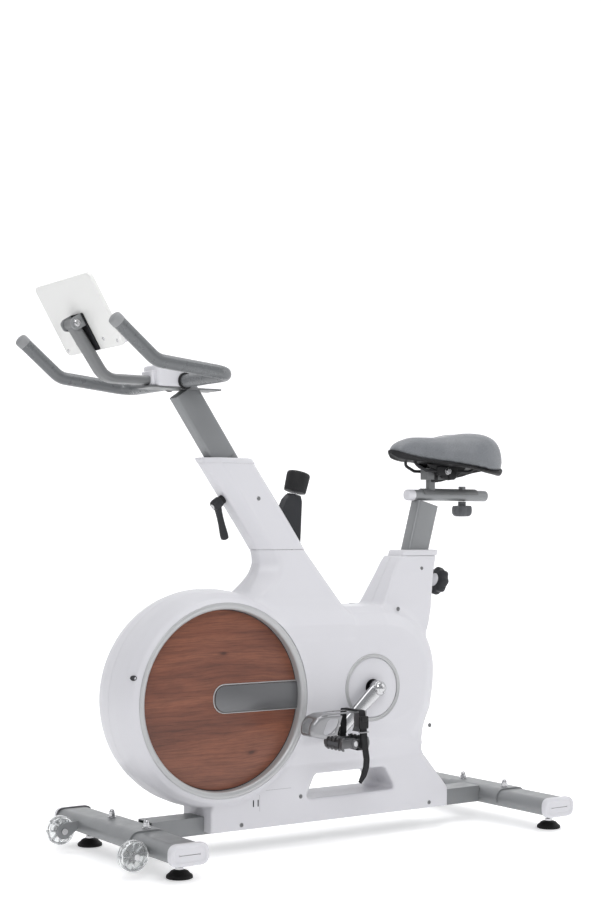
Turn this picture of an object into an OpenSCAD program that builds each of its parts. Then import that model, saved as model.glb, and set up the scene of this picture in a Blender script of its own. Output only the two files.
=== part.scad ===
// Upright exercise bike: enclosed flywheel, belt drive, sliding handlebar stem and
// sliding saddle post, on two cross stabilizers with levelling feet.
// +X points to the handlebar end, +Y to the rider's left, +Z up. Z = 0 is the floor.
// Inside the modules x = 0 is the crank axis; place() moves it to the row frame.

/* [Frame] */
// Distance from the crank axis to the middle of the bike's length
x_mid = 142.7; // [120:0.1:180]
// Height of the crank axis above the floor
crank_z = 342.4; // [330:0.1:355]
// Lean of the handlebar stem from vertical
stem_lean = 34.5; // [33:0.1:36]
// Lean of the saddle post from vertical
seat_lean = 15.5; // [14:0.1:17]
// Width of the oval stem and saddle post tubes
post_w = 60; // [56:0.5:61]
// Thickness of the oval stem and saddle post tubes
post_t = 34; // [30:0.5:35]

/* [Base] */
// Half length of the stabilizer tubes
stab_half = 252; // [240:1:256]
// Width of the stabilizer tube section
stab_w = 85; // [80:1:88]
// Height of the stabilizer tube section
stab_h = 40; // [38:1:42]
// Height of the stabilizer tube centre above the floor
stab_z = 58; // [57:0.5:60]
// Radius of a levelling foot pad
pad_r = 27.5; // [24:0.5:30]
// Radius of a transport wheel
wheel_r = 31.5; // [28:0.5:34]

/* [Housing] */
// Widest radius of the drum casing
drum_r = 236; // [232:0.5:240]
// Half thickness of the drum casing
drum_half = 85; // [84:0.1:86]
// Wall thickness of the plastic covers
wall = 3; // [2.5:0.1:3.5]
// Outer radius of the silver drum ring
ring_r = 208.6; // [206:0.1:208.8]
// Inner radius of the silver drum ring
ring_in = 194; // [190:0.5:195]

/* [Drive] */
// Radius of the flywheel
fly_r = 168; // [150:1:170]
// Radius of the large belt pulley
pulley_r = 110; // [100:1:112]
// Radius of the small belt pulley
small_r = 27.5; // [25:0.5:28]
// Crank length, axle to pedal spindle
crank_len = 170; // [165:1:172]
// Angle of the left crank below horizontal
crank_ang = 38; // [0:1:60]

/* [Handlebar and saddle] */
// Radius of the handlebar tube
bar_r = 14; // [13:0.5:14]
// Half width of the handlebar between tube centres
bar_half = 218.6; // [205:0.1:222]
// Radius of the saddle rail tube
rail_r = 13; // [12:0.5:13]

/* [Hidden] */
$fn = 48;

stem_x = 350; stem_z = 858;        // a point on the stem axis
seat_x = -217; seat_z = 766;       // a point on the saddle post axis
drum_x = 387.8; drum_z = 334.9;    // drum and flywheel axis
beam_lo = 44; beam_hi = 82; beam_half = 30;
front_x = 580; rear_x = -403;      // stabilizer centres
foot_fx = 567.5; foot_fy = 199.5; foot_rx = -423.6; foot_ry = 204.9;
whl_x = 655; whl_y = 167; whl_z = 48.5;
rail_z = 781; rail_f = -160; rail_b = -402;
clamp_x = -262; clamp_z = 838;     // saddle tilt pivot
hinge_x = 706; hinge_z = 1121; tray_lean = 30.2;
ped_x = crank_len*cos(crank_ang); ped_dz = crank_len*sin(crank_ang);

module place() translate([-x_mid, 0, 0]) children();
module both() { children(); mirror([0, 1, 0]) children(); }
// round bar along Y between y0 and y1
module ybar(x, z, r, y0, y1) translate([x, y0, z]) rotate([-90, 0, 0]) cylinder(r = r, h = y1 - y0);
// outline in X and Z, from y0 to y1
module slab(y0, y1) translate([0, y1, 0]) rotate([90, 0, 0]) linear_extrude(y1 - y0) children();
module oval(w, t) { square([w - t, t], center = true); for (s = [-1, 1]) translate([s*(w - t)/2, 0]) circle(d = t); }
module oval_tube(w, t, wl, h) difference() { linear_extrude(h) oval(w, t); translate([0, 0, -1]) linear_extrude(h + 2) oval(w - 2*wl, t - 2*wl); }
// along the stem axis from s, and along the saddle post axis from s
module on_stem(s) translate([stem_x, 0, stem_z]) rotate([0, stem_lean, 0]) translate([0, 0, s]) children();
module on_seat(s) translate([seat_x, 0, seat_z]) rotate([0, -seat_lean, 0]) translate([0, 0, s]) children();

// ---- sweep of a round or oval section along a path ----
function unit(v) = v/norm(v);
function tang(p, i) = unit(i == 0 ? p[1] - p[0] : i == len(p) - 1 ? p[i] - p[i-1] : unit(p[i+1] - p[i]) + unit(p[i] - p[i-1]));
function ring_pts(p, i, a, b, ref, n) = let(t = tang(p, i), u = unit(cross(ref, t)), v = cross(t, u)) [for (k = [0:n-1]) p[i] + a*cos(360*k/n)*u + b*sin(360*k/n)*v];
module sweep(p, a, b, ref, n = 16) {
  m = len(p);
  pts = [for (i = [0:m-1]) each ring_pts(p, i, a, b, ref, n)];
  polyhedron(points = pts, faces = concat(
    [[for (k = [0:n-1]) k]], [[for (k = [0:n-1]) (m-1)*n + n - 1 - k]],
    [for (i = [0:m-2], k = [0:n-1]) each [[i*n + k, (i+1)*n + k, (i+1)*n + (k+1)%n], [i*n + k, (i+1)*n + (k+1)%n, i*n + (k+1)%n]]]), convexity = 6);
}
// points of a path whose corners are rounded: a quadratic blend of m steps at each inner corner, d long
function blend(p, d, m = 5) = concat([p[0]], [for (i = [1:len(p)-2]) let(c = p[i], a = c + d*unit(p[i-1] - c), b = c + d*unit(p[i+1] - c)) for (k = [0:m]) let(t = k/m) (1-t)*(1-t)*a + 2*t*(1-t)*c + t*t*b], [p[len(p)-1]]);
// the same for a path in 2D
function arc2(cx, cz, r, a0, a1, m) = [for (k = [0:m]) let(a = a0 + (a1 - a0)*k/m) [cx + r*cos(a), cz + r*sin(a)]];

// ================= base =================
module main_beam() place() color("silver") difference() {
  translate([rear_x + stab_w/2 + 0.2, -beam_half, beam_lo]) cube([front_x - rear_x - stab_w - 0.4, 2*beam_half, beam_hi - beam_lo]);
  translate([rear_x, -beam_half + 2.5, beam_lo + 2.5]) cube([front_x - rear_x, 2*beam_half - 5, beam_hi - beam_lo - 5]);
}
module stabilizer(x, fx, fy) color("lightgray") difference() {
  translate([x, stab_half, stab_z]) rotate([90, 0, 0]) linear_extrude(2*stab_half) oval(stab_w, stab_h);
  translate([x, stab_half + 1, stab_z]) rotate([90, 0, 0]) linear_extrude(2*stab_half + 2) oval(stab_w - 5, stab_h - 5);
  for (s = [-1, 1]) translate([fx, s*fy, 20]) cylinder(r = 5.06, h = 30);
}
module front_stabilizer() place() stabilizer(front_x, foot_fx, foot_fy);
module rear_stabilizer() place() stabilizer(rear_x, foot_rx, foot_ry);
// saddle plate bent over the tube and welded to the end of the beam
module bracket(x, s) color("gray") difference() {
  translate([x, 95, stab_z]) rotate([90, 0, 0]) linear_extrude(190) intersection() {
    difference() { oval(stab_w + 7, stab_h + 7); oval(stab_w + 0.2, stab_h + 0.2); }
    union() { translate([-stab_w, 6]) square([2*stab_w, stab_h]); translate([s > 0 ? -stab_w : 0, -9]) square([stab_w, 30]); }
  }
  // notch for the beam
  translate([s > 0 ? x - stab_w/2 - 10 : x + stab_w/2 - 4.2, -beam_half - 0.2, beam_lo - 1]) cube([14.2, 2*beam_half + 0.4, beam_hi - beam_lo + 12]);
}
module front_bracket() place() bracket(front_x, 1);
module rear_bracket() place() bracket(rear_x, -1);
module stabilizer_end_caps() place() color("white") for (x = [front_x, rear_x], s = [0, 1]) mirror([0, s, 0]) {
  translate([x, stab_half + 13, stab_z]) rotate([90, 0, 0]) linear_extrude(12.8) oval(stab_w + 4, stab_h + 5);
}
module base_fasteners() place() color("silver") {
  for (x = [front_x - 4, rear_x + 4], s = [-1, 1]) translate([x, s*77, stab_z + stab_h/2 + 3.6]) {
    cylinder(r = 9, h = 1.6); translate([0, 0, 1.6]) cylinder(r = 7.4, h = 8, $fn = 6); translate([0, 0, 9.6]) cylinder(r = 6, h = 3); translate([0, 0, 12.6]) sphere(r = 5.9, $fn = 24);
  }
  // wheel axle bolts
  for (s = [0, 1]) mirror([0, s, 0]) { ybar(whl_x, whl_z, 4, 146, 182); ybar(whl_x, whl_z, 7, 142.5, 146.9); ybar(whl_x, whl_z, 6.5, 182, 186); }
  // lock nuts of the levelling feet
  for (x = [[foot_fx, foot_fy], [foot_rx, foot_ry]], s = [-1, 1]) translate([x[0], s*x[1], stab_z - stab_h/2 - 6.3]) difference() { cylinder(r = 9.2, h = 6, $fn = 6); translate([0, 0, -1]) cylinder(r = 5.06, h = 8); }
}
module wheel_brackets() place() color("gray") both() difference() {
  slab(147, 151) { translate([whl_x, whl_z]) circle(r = 17); polygon([[whl_x, whl_z + 17], [front_x + stab_w/2 - 1, 68], [front_x + stab_w/2 + 0.4, 50], [whl_x - 6, whl_z - 16]]); }
  ybar(whl_x, whl_z, 4.05, 140, 160);
  translate([front_x, 300, stab_z]) rotate([90, 0, 0]) linear_extrude(600) oval(stab_w + 0.2, stab_h + 0.2);
}
module transport_wheel() color("whitesmoke") translate([whl_x, 0, whl_z]) rotate([-90, 0, 0]) translate([0, 0, whl_y - 10]) difference() {
  rotate_extrude() polygon([[4.08, 1], [10, 1], [12, 5], [26, 5], [28, 1], [wheel_r - 1.5, 1], [wheel_r, 3], [wheel_r, 17], [wheel_r - 1.5, 19], [28, 19], [26, 15], [12, 15], [10, 20], [4.08, 20]]);
  for (a = [0:45:315]) rotate(a + 22.5) translate([19, 0, -1]) cylinder(r = 3.6, h = 24);
}
module left_transport_wheel() place() transport_wheel();
module right_transport_wheel() place() mirror([0, 1, 0]) transport_wheel();
module foot(x, y) color("black") translate([x, y, 0]) {
  rotate_extrude() polygon([[0, 0], [pad_r - 1, 0], [pad_r, 2], [pad_r - 1, 8], [pad_r - 9, 14.5], [10, 17], [0, 17]]);
  translate([0, 0, 16.5]) cylinder(r = 5, h = 33);
  translate([0, 0, 16.8]) cylinder(r = 9, h = 6, $fn = 6);
}
module front_left_foot() place() foot(foot_fx, foot_fy);
module front_right_foot() place() foot(foot_fx, -foot_fy);
module rear_left_foot() place() foot(foot_rx, foot_ry);
module rear_right_foot() place() foot(foot_rx, -foot_ry);

// ================= welded posts inside the covers =================
module frame_posts() place() color("dimgray") difference() {
  union() {
    on_stem(-600) linear_extrude(592) oval(post_w + 6, post_t + 6);
    on_seat(-420) linear_extrude(292) oval(post_w + 6, post_t + 6);
    ybar(0, crank_z, 24, -26, 26);
    translate([-138, -20, beam_hi]) cube([42, 40, 300]);
    translate([178, -20, beam_hi]) cube([34, 40, 352]);
    translate([0, -19, 286]) cube([190, 38, 34]);
    translate([-110, -19, 328]) cube([110, 38, 30]);
    for (y = [[34, 38], [-56, -51.5]]) slab(y[0], y[1]) polygon([[drum_x - 63, beam_hi + 0.1], [drum_x - 8, beam_hi + 0.1], [drum_x + 20, drum_z + 20], [drum_x - 20, drum_z + 20]]);
    translate([drum_x - 62, -56, beam_hi + 0.1]) cube([54, 94, 5]);
    // nut blocks of the stem clamp and the saddle post clamp
    on_stem(-79) rotate([0, 90, 0]) cylinder(r = 11, h = 44);
    on_seat(-180) rotate([0, -90, 0]) cylinder(r = 12, h = 41);
    // pin of the brake
    ybar(195, 418, 4, -26, 26);
  }
  on_stem(-560) linear_extrude(207) oval(post_w, post_t);
  on_stem(-352) linear_extrude(422) oval(post_w + 0.6, post_t + 0.6);
  on_seat(-388) linear_extrude(328) oval(post_w + 0.6, post_t + 0.6);
  on_stem(-79) rotate([0, 90, 0]) cylinder(r = 5.06, h = 60);
  on_seat(-180) rotate([0, -90, 0]) cylinder(r = 5.06, h = 60);
  translate([-134, -16, beam_hi - 1]) cube([34, 32, 250]);
  translate([182, -16, beam_hi - 1]) cube([26, 32, 320]);
  ybar(0, crank_z, 17.05, -40, 40);
  ybar(drum_x, drum_z, 8.05, -80, 60);
}

// ================= housing =================
deck = concat([[388, 500], [388, 118], [410, 100], [410, 50], [-237, 50], [-237, 94], [-146, 201], [-170, 245], [-190, 284], [-199, 335], [-199, 372], [-47, 372], [-47, 527], [300, 527]]);
neck = [[267, 654.4], [262, 624], [270, 600], [303, 560], [352, 520], [340, 470], [50, 470], [50, 508], [64, 527], [155, 654.4]];
seatw = [[-119, 640], [-106, 622], [-60, 534], [-50, 480], [-170, 440], [-195, 515], [-226, 640]];
window = [[140, 156], [-53, 156], [-86, 100], [169, 100]];
module drum_form(t) translate([drum_x, 0, drum_z]) rotate([-90, 0, 0]) rotate_extrude($fn = 96) polygon([for (p = [[0, -drum_half + t], [212 - t, -drum_half + t], [219 - t, -75], [228 - t, -55], [234 - t, -30], [drum_r - t, 0], [234 - t, 30], [228 - t, 55], [219 - t, 75], [212 - t, drum_half - t], [0, drum_half - t]]) p]);
module rear_form(t) translate([-47, 0, 372]) rotate([-90, 0, 0]) rotate_extrude($fn = 96) polygon([[0, -84.8 + t], [108 - t, -84.8 + t], [137 - t, -70 + t/2], [154 - t, -52], [154 - t, 52], [137 - t, 70 - t/2], [108 - t, 84.8 - t], [0, 84.8 - t]]);
module yz(pts) translate([-300, 0, 0]) rotate([90, 0, 90]) linear_extrude(900) polygon(concat(pts, [for (i = [len(pts)-1:-1:0]) [-pts[i][0], pts[i][1]]]));
module housing(t) {
  drum_form(t);
  rear_form(t);
  intersection() { slab(-90, 90) offset(delta = -t) polygon(deck); yz([[60 - t, 40], [60 - t, 180], [84.5 - t, 230], [84.5 - t, 481], [70 - t, 511], [52 - t, 530]]); }
  intersection() { slab(-90, 90) offset(delta = -t) polygon(neck); yz([[84.3 - t, 440], [84.3 - t, 481], [70 - t, 511], [60 - t, 548], [38 - t, 656]]); }
  intersection() { slab(-90, 90) offset(delta = -t) polygon(seatw); yz([[64 - t, 430], [62 - t, 480], [50 - t, 527], [36 - t, 600], [33 - t, 650]]); }
}
module shell() difference() {
  union() {
    difference() {
      housing(0);
      difference() { housing(wall); slab(-95, 95) offset(delta = wall) polygon(window); }
    }
    // ledges that carry the drum discs
    intersection() { drum_form(1); both() difference() { ybar(drum_x, drum_z, 250, 56.8, 59.8); ybar(drum_x, drum_z, 186, 50, 70); } }
  }
  slab(-95, 95) polygon(window);
  // drum faces are closed by the disc assemblies
  ybar(drum_x, drum_z, 209, 63, 100); ybar(drum_x, drum_z, 209, -100, -63);
  ybar(drum_x, drum_z, 188, -100, 100);
  // crank openings and the seats of their rings
  ybar(0, crank_z, 19, -100, 100); ybar(0, crank_z, 76.3, 80, 100); ybar(0, crank_z, 76.3, -100, -80);
  // beam, stem tube, cable slot, saddle tube, clamps
  translate([159, -6, 646]) cube([20, 12, 12]);
  translate([-300, -30.3, 20]) cube([760, 60.6, beam_hi + 0.3 - 20]);
  on_stem(-400) linear_extrude(400) oval(post_w + 7, post_t + 7);
  on_seat(-300) linear_extrude(300) oval(post_w + 7, post_t + 7);
  on_seat(-180) rotate([0, -90, 0]) cylinder(r = 12.5, h = 70);
}
module left_shell() place() color("white") intersection() { shell(); translate([-400, 0.2, 0]) cube([1200, 120, 900]); }
module right_shell() place() color("white") intersection() { shell(); translate([-400, -120.2, 0]) cube([1200, 120, 900]); }
module neck_sec(t) polygon([[46 - t, -17 + t/2], [46 - t, 17 - t/2], [22 - t/2, 38 - t], [-44 + t, 38 - t], [-50 + t, 30], [-50 + t, -30], [-44 + t, -38 + t], [22 - t/2, -38 + t]]);
module neck_cover() place() color("white") difference() {
  intersection() {
    difference() { on_stem(-320) linear_extrude(400) neck_sec(0); on_stem(-321) linear_extrude(402) neck_sec(wall); }
    translate([0, -60, 654.8]) cube([600, 120, 188]);
  }
  translate([0, -0.2, 600]) cube([600, 0.4, 300]);
  on_stem(-79) rotate([0, 90, 0]) cylinder(r = 12, h = 70);
}
module sleeve_collars() place() color("white") {
  difference() {
    intersection() { on_stem(-60) linear_extrude(120) neck_sec(0.5); translate([0, -60, 843.2]) cube([600, 120, 13]); }
    on_stem(-100) linear_extrude(200) oval(post_w + 1.2, post_t + 1.2);
    translate([0, -60, 800]) cube([600, 120, 43.2]);
    on_stem(-108) linear_extrude(100.4) oval(post_w + 7, post_t + 7);
  }
  difference() {
    intersection() { on_seat(-180) linear_extrude(120) square([104, 66], center = true); translate([-300, -60, 640.3]) cube([300, 120, 8.5]); slab(-90, 90) polygon([[-118, 655], [-119, 630], [-224, 630], [-230, 655]]); }
    on_seat(-200) linear_extrude(200) oval(post_w + 1.2, post_t + 1.2);
    on_seat(-228) linear_extrude(100.4) oval(post_w + 7, post_t + 7);
  }
}
module drum_ring() color("silver") translate([drum_x, 0, drum_z]) rotate([-90, 0, 0]) rotate_extrude($fn = 96) polygon([[ring_in, 63.3], [ring_r, 63.3], [ring_r, 84], [ring_r - 2, 86], [ring_in + 3, 86], [ring_in, 83]]);
module left_drum_ring() place() drum_ring();
module right_drum_ring() place() mirror([0, 1, 0]) drum_ring();
module wood_disc() color("saddlebrown") ybar(drum_x, drum_z, ring_in - 0.2, 60, 65.5);
module left_wood_disc() place() wood_disc();
module right_wood_disc() place() mirror([0, 1, 0]) wood_disc();
module drum_tongues() place() color("gray") both() intersection() {
  slab(65.7, 78) { translate([209 - 15, drum_z + 2 - 28.5]) square([196, 57]); translate([390, drum_z + 2 - 14]) square([15, 28]); for (s = [-1, 1]) translate([390, drum_z + 2 + s*13.5]) circle(r = 15); }
  ybar(drum_x, drum_z, ring_in - 0.4, 60, 90);
}
module crank_rings() place() color("gainsboro") both() translate([0, 0, crank_z]) rotate([-90, 0, 0]) rotate_extrude($fn = 96) polygon([[20, 80.3], [76, 80.3], [76, 84], [74, 87], [70, 87], [67.5, 83], [20, 83]]);
module shell_screws() place() color("dimgray") both() {
  for (p = [[276, 767, 38.1], [180, 109, 60.1], [334, 61, 60.1], [-182, 62, 60.1]]) ybar(p[0], p[1], 4.5, p[2], p[2] + 1.6);
  ybar(-179, 608, 4, 35.9, 37.4);
}

// ================= drive =================
module bearings() place() color("silver") {
  for (y = [[-26, -14], [14, 26]]) difference() { ybar(0, crank_z, 17, y[0], y[1]); ybar(0, crank_z, 10.05, y[0] - 1, y[1] + 1); }
}
module crank_axle() place() color("silver") {
  ybar(0, crank_z, 10, -100, 100); ybar(0, crank_z, 13, -29.8, -26.3);
  // end caps of the axle bolts
  both() translate([0, 114, crank_z]) rotate([-90, 0, 0]) rotate_extrude() polygon([[0, 0], [14, 0], [14, 2.5], [11, 5], [5, 6], [0, 6]]);
}
module drive_pulley() place() color("dimgray") translate([0, 0, crank_z]) rotate([90, 0, 0]) difference() {
  rotate_extrude($fn = 96) polygon([[10.1, 30], [22, 30], [22, 36], [96, 36], [96, 30], [pulley_r, 30], [pulley_r, 48], [96, 48], [96, 40], [22, 40], [22, 50], [10.1, 50]]);
  for (a = [0:60:300]) rotate(a) translate([60, 0, 26]) cylinder(r = 20, h = 30);
}
module flywheel_axle() place() color("silver") { ybar(drum_x, drum_z, 8, -59.6, 47); for (y = [[38.2, 44], [-59, -56.2]]) ybar(drum_x, drum_z, 14, y[0], y[1]); }
module flywheel() place() color("dimgray") difference() {
  translate([drum_x, 0, drum_z]) rotate([-90, 0, 0]) rotate_extrude($fn = 96) polygon([[8.06, -50.5], [16, -50.5], [small_r, -48], [small_r, -29], [24, -28], [24, -10], [60, -6], [fly_r - 34, -6], [fly_r - 30, -11], [fly_r, -11], [fly_r, 11], [fly_r - 30, 11], [fly_r - 34, 6], [60, 6], [24, 18], [14, 33], [8.06, 33]]);
  for (a = [0:60:300]) translate([drum_x, 0, drum_z]) rotate([90, a, 0]) translate([92, 0, -20]) cylinder(r = 22, h = 40);
}
// flat belt round both pulleys, one loop
belt_a = asin((pulley_r - small_r)/norm([drum_x, crank_z - drum_z]));
module belt_path(g) { circle(r = pulley_r + g, $fn = 96); translate([drum_x, drum_z - crank_z]) circle(r = small_r + g, $fn = 96);
  rotate(atan2(drum_z - crank_z, drum_x)) polygon([for (s = [1, -1]) each (s > 0 ? [[(pulley_r + g)*sin(belt_a), (pulley_r + g)*cos(belt_a)], [norm([drum_x, crank_z - drum_z]) + (small_r + g)*sin(belt_a), (small_r + g)*cos(belt_a)]] : [[norm([drum_x, crank_z - drum_z]) + (small_r + g)*sin(belt_a), -(small_r + g)*cos(belt_a)], [(pulley_r + g)*sin(belt_a), -(pulley_r + g)*cos(belt_a)]])]); }
module drive_belt() place() color("black") translate([0, -31, crank_z]) rotate([90, 0, 0]) linear_extrude(16) difference() { belt_path(2.4); belt_path(0.3); }
// crank arm from the axle boss to the pedal eye, drawn along +X from the axle
module crank_arm() difference() {
  union() {
    translate([0, 0, 0]) ybar(0, 0, 17, 92, 112);
    sweep(blend([[0, 104, 0], [30, 106, 0], [crank_len - 30, 115.5, 0], [crank_len, 116.5, 0]], 20, 3), 11, 8, [0, 1, 0], 16);
    ybar(crank_len, 0, 13.5, 110, 125);
  }
  ybar(0, 0, 10.04, 80, 100.3);
}
module left_crank() place() color("gainsboro") translate([0, 0, crank_z]) rotate([0, crank_ang, 0]) crank_arm();
module right_crank() place() color("gainsboro") translate([0, 0, crank_z]) rotate([0, crank_ang + 180, 0]) mirror([0, 1, 0]) crank_arm();
module pedal_spindles() place() color("silver") {
  at_left() { ybar(0, 0, 6, 125.2, 205.5); ybar(0, 0, 9, 125.3, 130); }
  at_right() { ybar(0, 0, 6, 125.2, 205.5); ybar(0, 0, 9, 125.3, 130); }
}

// ---- pedal about its own spindle axis, spindle along Y ----
module pedal_body() color("dimgray") difference() {
  union() {
    slab(134, 206) { for (s = [-1, 1]) translate([s*26, 0]) circle(r = 11); square([52, 22], center = true); }
    for (s = [-1, 1], k = [0:5]) translate([s*(6 + 6*0) + s*24 - 5, 138 + 11.4*k, -13.5]) cube([10, 6, 27]);
  }
  for (k = [0:2], s = [-1, 1]) translate([s*18 - 7, 141 + 21*k, -20]) cube([14, 16, 40]);
  ybar(0, 0, 6.06, 120, 240);
}
// bent strip in X and Z, thick sheet
cage_out = [[36, 13.6], [70, 14], [104, 20], [110, 27], [106, 44], [94, 60], [76, 67], [-40, 69]];
cage_in = [[-40, 66.6], [75, 64.6], [92, 58], [103.6, 43], [107.4, 27.6], [103, 22.3], [70, 16.4], [36, 16]];
module toe_cage() color("silver") difference() {
  slab(142, 198) polygon(concat(cage_out, cage_in));
  // windows in the nose and a slot along the top
  slab(150, 190) polygon([[96, 8], [130, 24], [130, 52], [96, 52]]);
  translate([-14, 154, 50]) cube([76, 32, 40]);
}
// strap over the cage, down both sides of the pedal, with a hanging tail
module pedal_strap() color("black") {
  translate([-22, 138, 69.4]) cube([14, 64, 2.2]);
  translate([-22, 136.6, 14]) cube([14, 2.2, 57.6]);
  translate([-22, 206.4, -12]) cube([14, 2.2, 82]);
  translate([-22, 201.6, 69.4]) cube([14, 7, 2.2]);
  translate([-24, 208.8, 34]) cube([18, 5, 24]);
  sweep([[-15, 209.9, 33.8], [-15, 211, 10], [-16, 212, -20], [-19, 212, -50], [-25, 211, -72], [-30, 210, -84]], 7, 1.1, [0, 1, 0], 12);
}
module at_left() translate([ped_x, 0, crank_z - ped_dz]) children();
module at_right() translate([-ped_x, 0, crank_z + ped_dz]) mirror([0, 1, 0]) children();
module left_pedal_body() place() at_left() pedal_body();
module right_pedal_body() place() at_right() pedal_body();
module left_toe_cage() place() at_left() toe_cage();
module right_toe_cage() place() at_right() toe_cage();
module left_pedal_strap() place() at_left() pedal_strap();
module right_pedal_strap() place() at_right() pedal_strap();

// ================= brake =================
// magnet bridge over the flywheel rim, turning on a pin in the front post
module brake_carrier() place() color("gray") difference() {
  union() {
    intersection() {
      translate([drum_x, 0, drum_z]) rotate([-90, 0, 0]) rotate_extrude($fn = 96) polygon([[fly_r - 24, -22], [fly_r + 16, -22], [fly_r + 16, 22], [fly_r - 24, 22], [fly_r - 24, 16], [fly_r + 10, 16], [fly_r + 10, -16], [fly_r - 24, -16]]);
      slab(-40, 40) polygon([[drum_x, drum_z], [drum_x - 165, drum_z + 128], [drum_x - 165, drum_z + 240], [drum_x - 60, drum_z + 220]]);
    }
    both() slab(20.4, 24) polygon([[190, 410], [202, 408], [262, 440], [262, 470], [240, 476], [188, 426]]);
  }
  ybar(195, 418, 4.06, -40, 40);
}
cable = blend([[195, 0, 702], [164, 0, 654], [130.5, 0, 606], [104, 26, 566], [125, 28, 520], [176, 28, 480], [214, 28, 464]], 12, 3);
module tension_cable() place() color("black") sweep(cable, 2.5, 2.5, [0, 1, 0], 8);
module knob_housing() place() color("dimgray") difference() {
  slab(-14, 14) polygon([[144.5, 644], [145, 773], [172, 780.5], [188, 758], [240, 757]]);
  on_stem(-330) linear_extrude(400) neck_sec(-0.3);
  translate([158, 0, 776]) rotate([0, -15.1, 0]) translate([0, 0, -40]) cylinder(r = 5.06, h = 60);
}
module tension_spindle() place() color("silver") translate([158, 0, 776]) rotate([0, -15.1, 0]) translate([0, 0, -24]) cylinder(r = 5, h = 50);
module resistance_knob() place() color("black") translate([158, 0, 776]) rotate([0, -15.1, 0]) difference() {
  translate([0, 0, 7.5]) union() { cylinder(r = 22.5, h = 42); translate([0, 0, 41]) cylinder(r = 20, h = 3); }
  for (a = [0:15:345]) rotate(a) translate([23.6, 0, 12]) cylinder(r = 2.2, h = 60);
  translate([0, 0, 3]) cylinder(r = 5.05, h = 24);
}

// ================= stem, handlebar, tablet tray =================
module stem_post() place() color("silver") intersection() { on_stem(-220) oval_tube(post_w, post_t, 2.5, 420); translate([0, -60, 500]) cube([700, 120, 497.8]); }
half_bar = blend([[458, 0, 1014], [458, bar_half, 1014], [629, bar_half, 1032], [726.5, bar_half, 1113]], 30, 6);
module handlebar() place() color("gray") sweep(concat([for (i = [len(half_bar)-1:-1:1]) [half_bar[i][0], -half_bar[i][1], half_bar[i][2]]], half_bar), bar_r, bar_r, [0, 0, 1], 20);
module head_plate() place() color("gray") difference() {
  union() { translate([366, -30, 998]) cube([174, 60, 3.5]); translate([442.4, -24, 1001.4]) cube([34, 48, 34]); translate([486, -16, 1001.4]) cube([40, 32, 23.4]); }
  ybar(458, 1014, 14.1, -60, 60);
  translate([488.5, -19.1, 1003.9]) cube([60, 38.2, 20.2]);
}
module console_box() place() color("white") difference() {
  translate([439, -34, 1001.8]) cube([86, 68, 45]);
  translate([442, -31, 1000]) cube([80, 62, 44]);
  ybar(458, 1014, 14.4, -60, 60);
  translate([515, -20.2, 1000]) cube([20, 40.4, 25.2]);
}
arm = blend([[490, 0, 1014], [632, 0, 1014], [hinge_x - 3, 0, hinge_z - 4.6]], 34, 7);
module tablet_arm() place() color("gray") difference() {
  union() { sweep(arm, 19, 10, [0, 0.0001, 1], 20); ybar(hinge_x, hinge_z, 11, -19.6, 19.6); }
  ybar(hinge_x, hinge_z, 4.06, -40, 40);
}
// local tray frame: origin on the hinge, +X out of the back face, +Z up the tray
module on_tray() translate([hinge_x, 0, hinge_z]) rotate([0, tray_lean, 0]) children();
module tablet_tray() place() color("white") on_tray() {
  translate([-29, -127, -72]) cube([10, 254, 160]);
  translate([-47, -127, -72]) cube([18.2, 254, 6]);
  translate([-47, -127, -66.1]) cube([4, 254, 8]);
}
module tray_bracket() place() color("dimgray") on_tray() {
  translate([-18.8, -30, -70]) cube([2.6, 60, 84]);
  for (s = [-1, 1]) translate([0, s*22.2 - 2.2, 0]) { translate([-16.3, 0, -13]) cube([16.3, 4.4, 26]); rotate([-90, 0, 0]) cylinder(r = 13, h = 4.4); }
  ybar(0, 0, 4, -24, 24); for (s = [0, 1]) mirror([0, s, 0]) ybar(0, 0, 7, 24, 28);
}
module stem_clamp_lever() place() color("dimgray") on_stem(-79) {
  rotate([0, 90, 0]) translate([0, 0, 30.6]) cylinder(r = 5, h = 22);
  rotate([0, 90, 0]) translate([0, 0, 49]) cylinder(r = 10, h = 7);
  rotate([0, 90, 0]) translate([0, 0, 56]) cylinder(r = 11.5, h = 22);
  rotate([0, 90, 0]) translate([0, 0, 78]) cylinder(r = 6, h = 2);
  translate([66, 0, 0]) rotate([0, 160.5, 0]) cylinder(r = 7, h = 78);
  translate([66, 0, 0]) rotate([0, 160.5, 0]) translate([0, 0, 78]) sphere(r = 9, $fn = 24);
}

// ================= saddle side =================
module seat_post() place() color("silver") difference() {
  union() { intersection() { on_seat(-290) linear_extrude(305) oval(post_w, post_t); translate([-400, -60, 300]) cube([500, 120, rail_z - 300]); } translate([rail_b, 0, rail_z]) rotate([0, 90, 0]) cylinder(r = rail_r, h = rail_f - rail_b); }
  on_seat(-291) linear_extrude(275) oval(post_w - 5, post_t - 5);
  translate([rail_b - 1, 0, rail_z]) rotate([0, 90, 0]) cylinder(r = rail_r - 2.5, h = 132);
  translate([-372, -5.3, rail_z - 20]) cube([96, 10.6, 40]);
}
module seat_knob() place() color("black") on_seat(-180) rotate([0, -90, 0]) difference() {
  union() { translate([0, 0, post_w/2 + 0.6]) cylinder(r = 5, h = 40); translate([0, 0, 43]) cylinder(r = 12, h = 21); translate([0, 0, 64]) cylinder(r = 29, h = 22); }
  for (a = [0:60:300]) rotate(a) translate([35, 0, 60]) cylinder(r = 11, h = 40);
}
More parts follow.
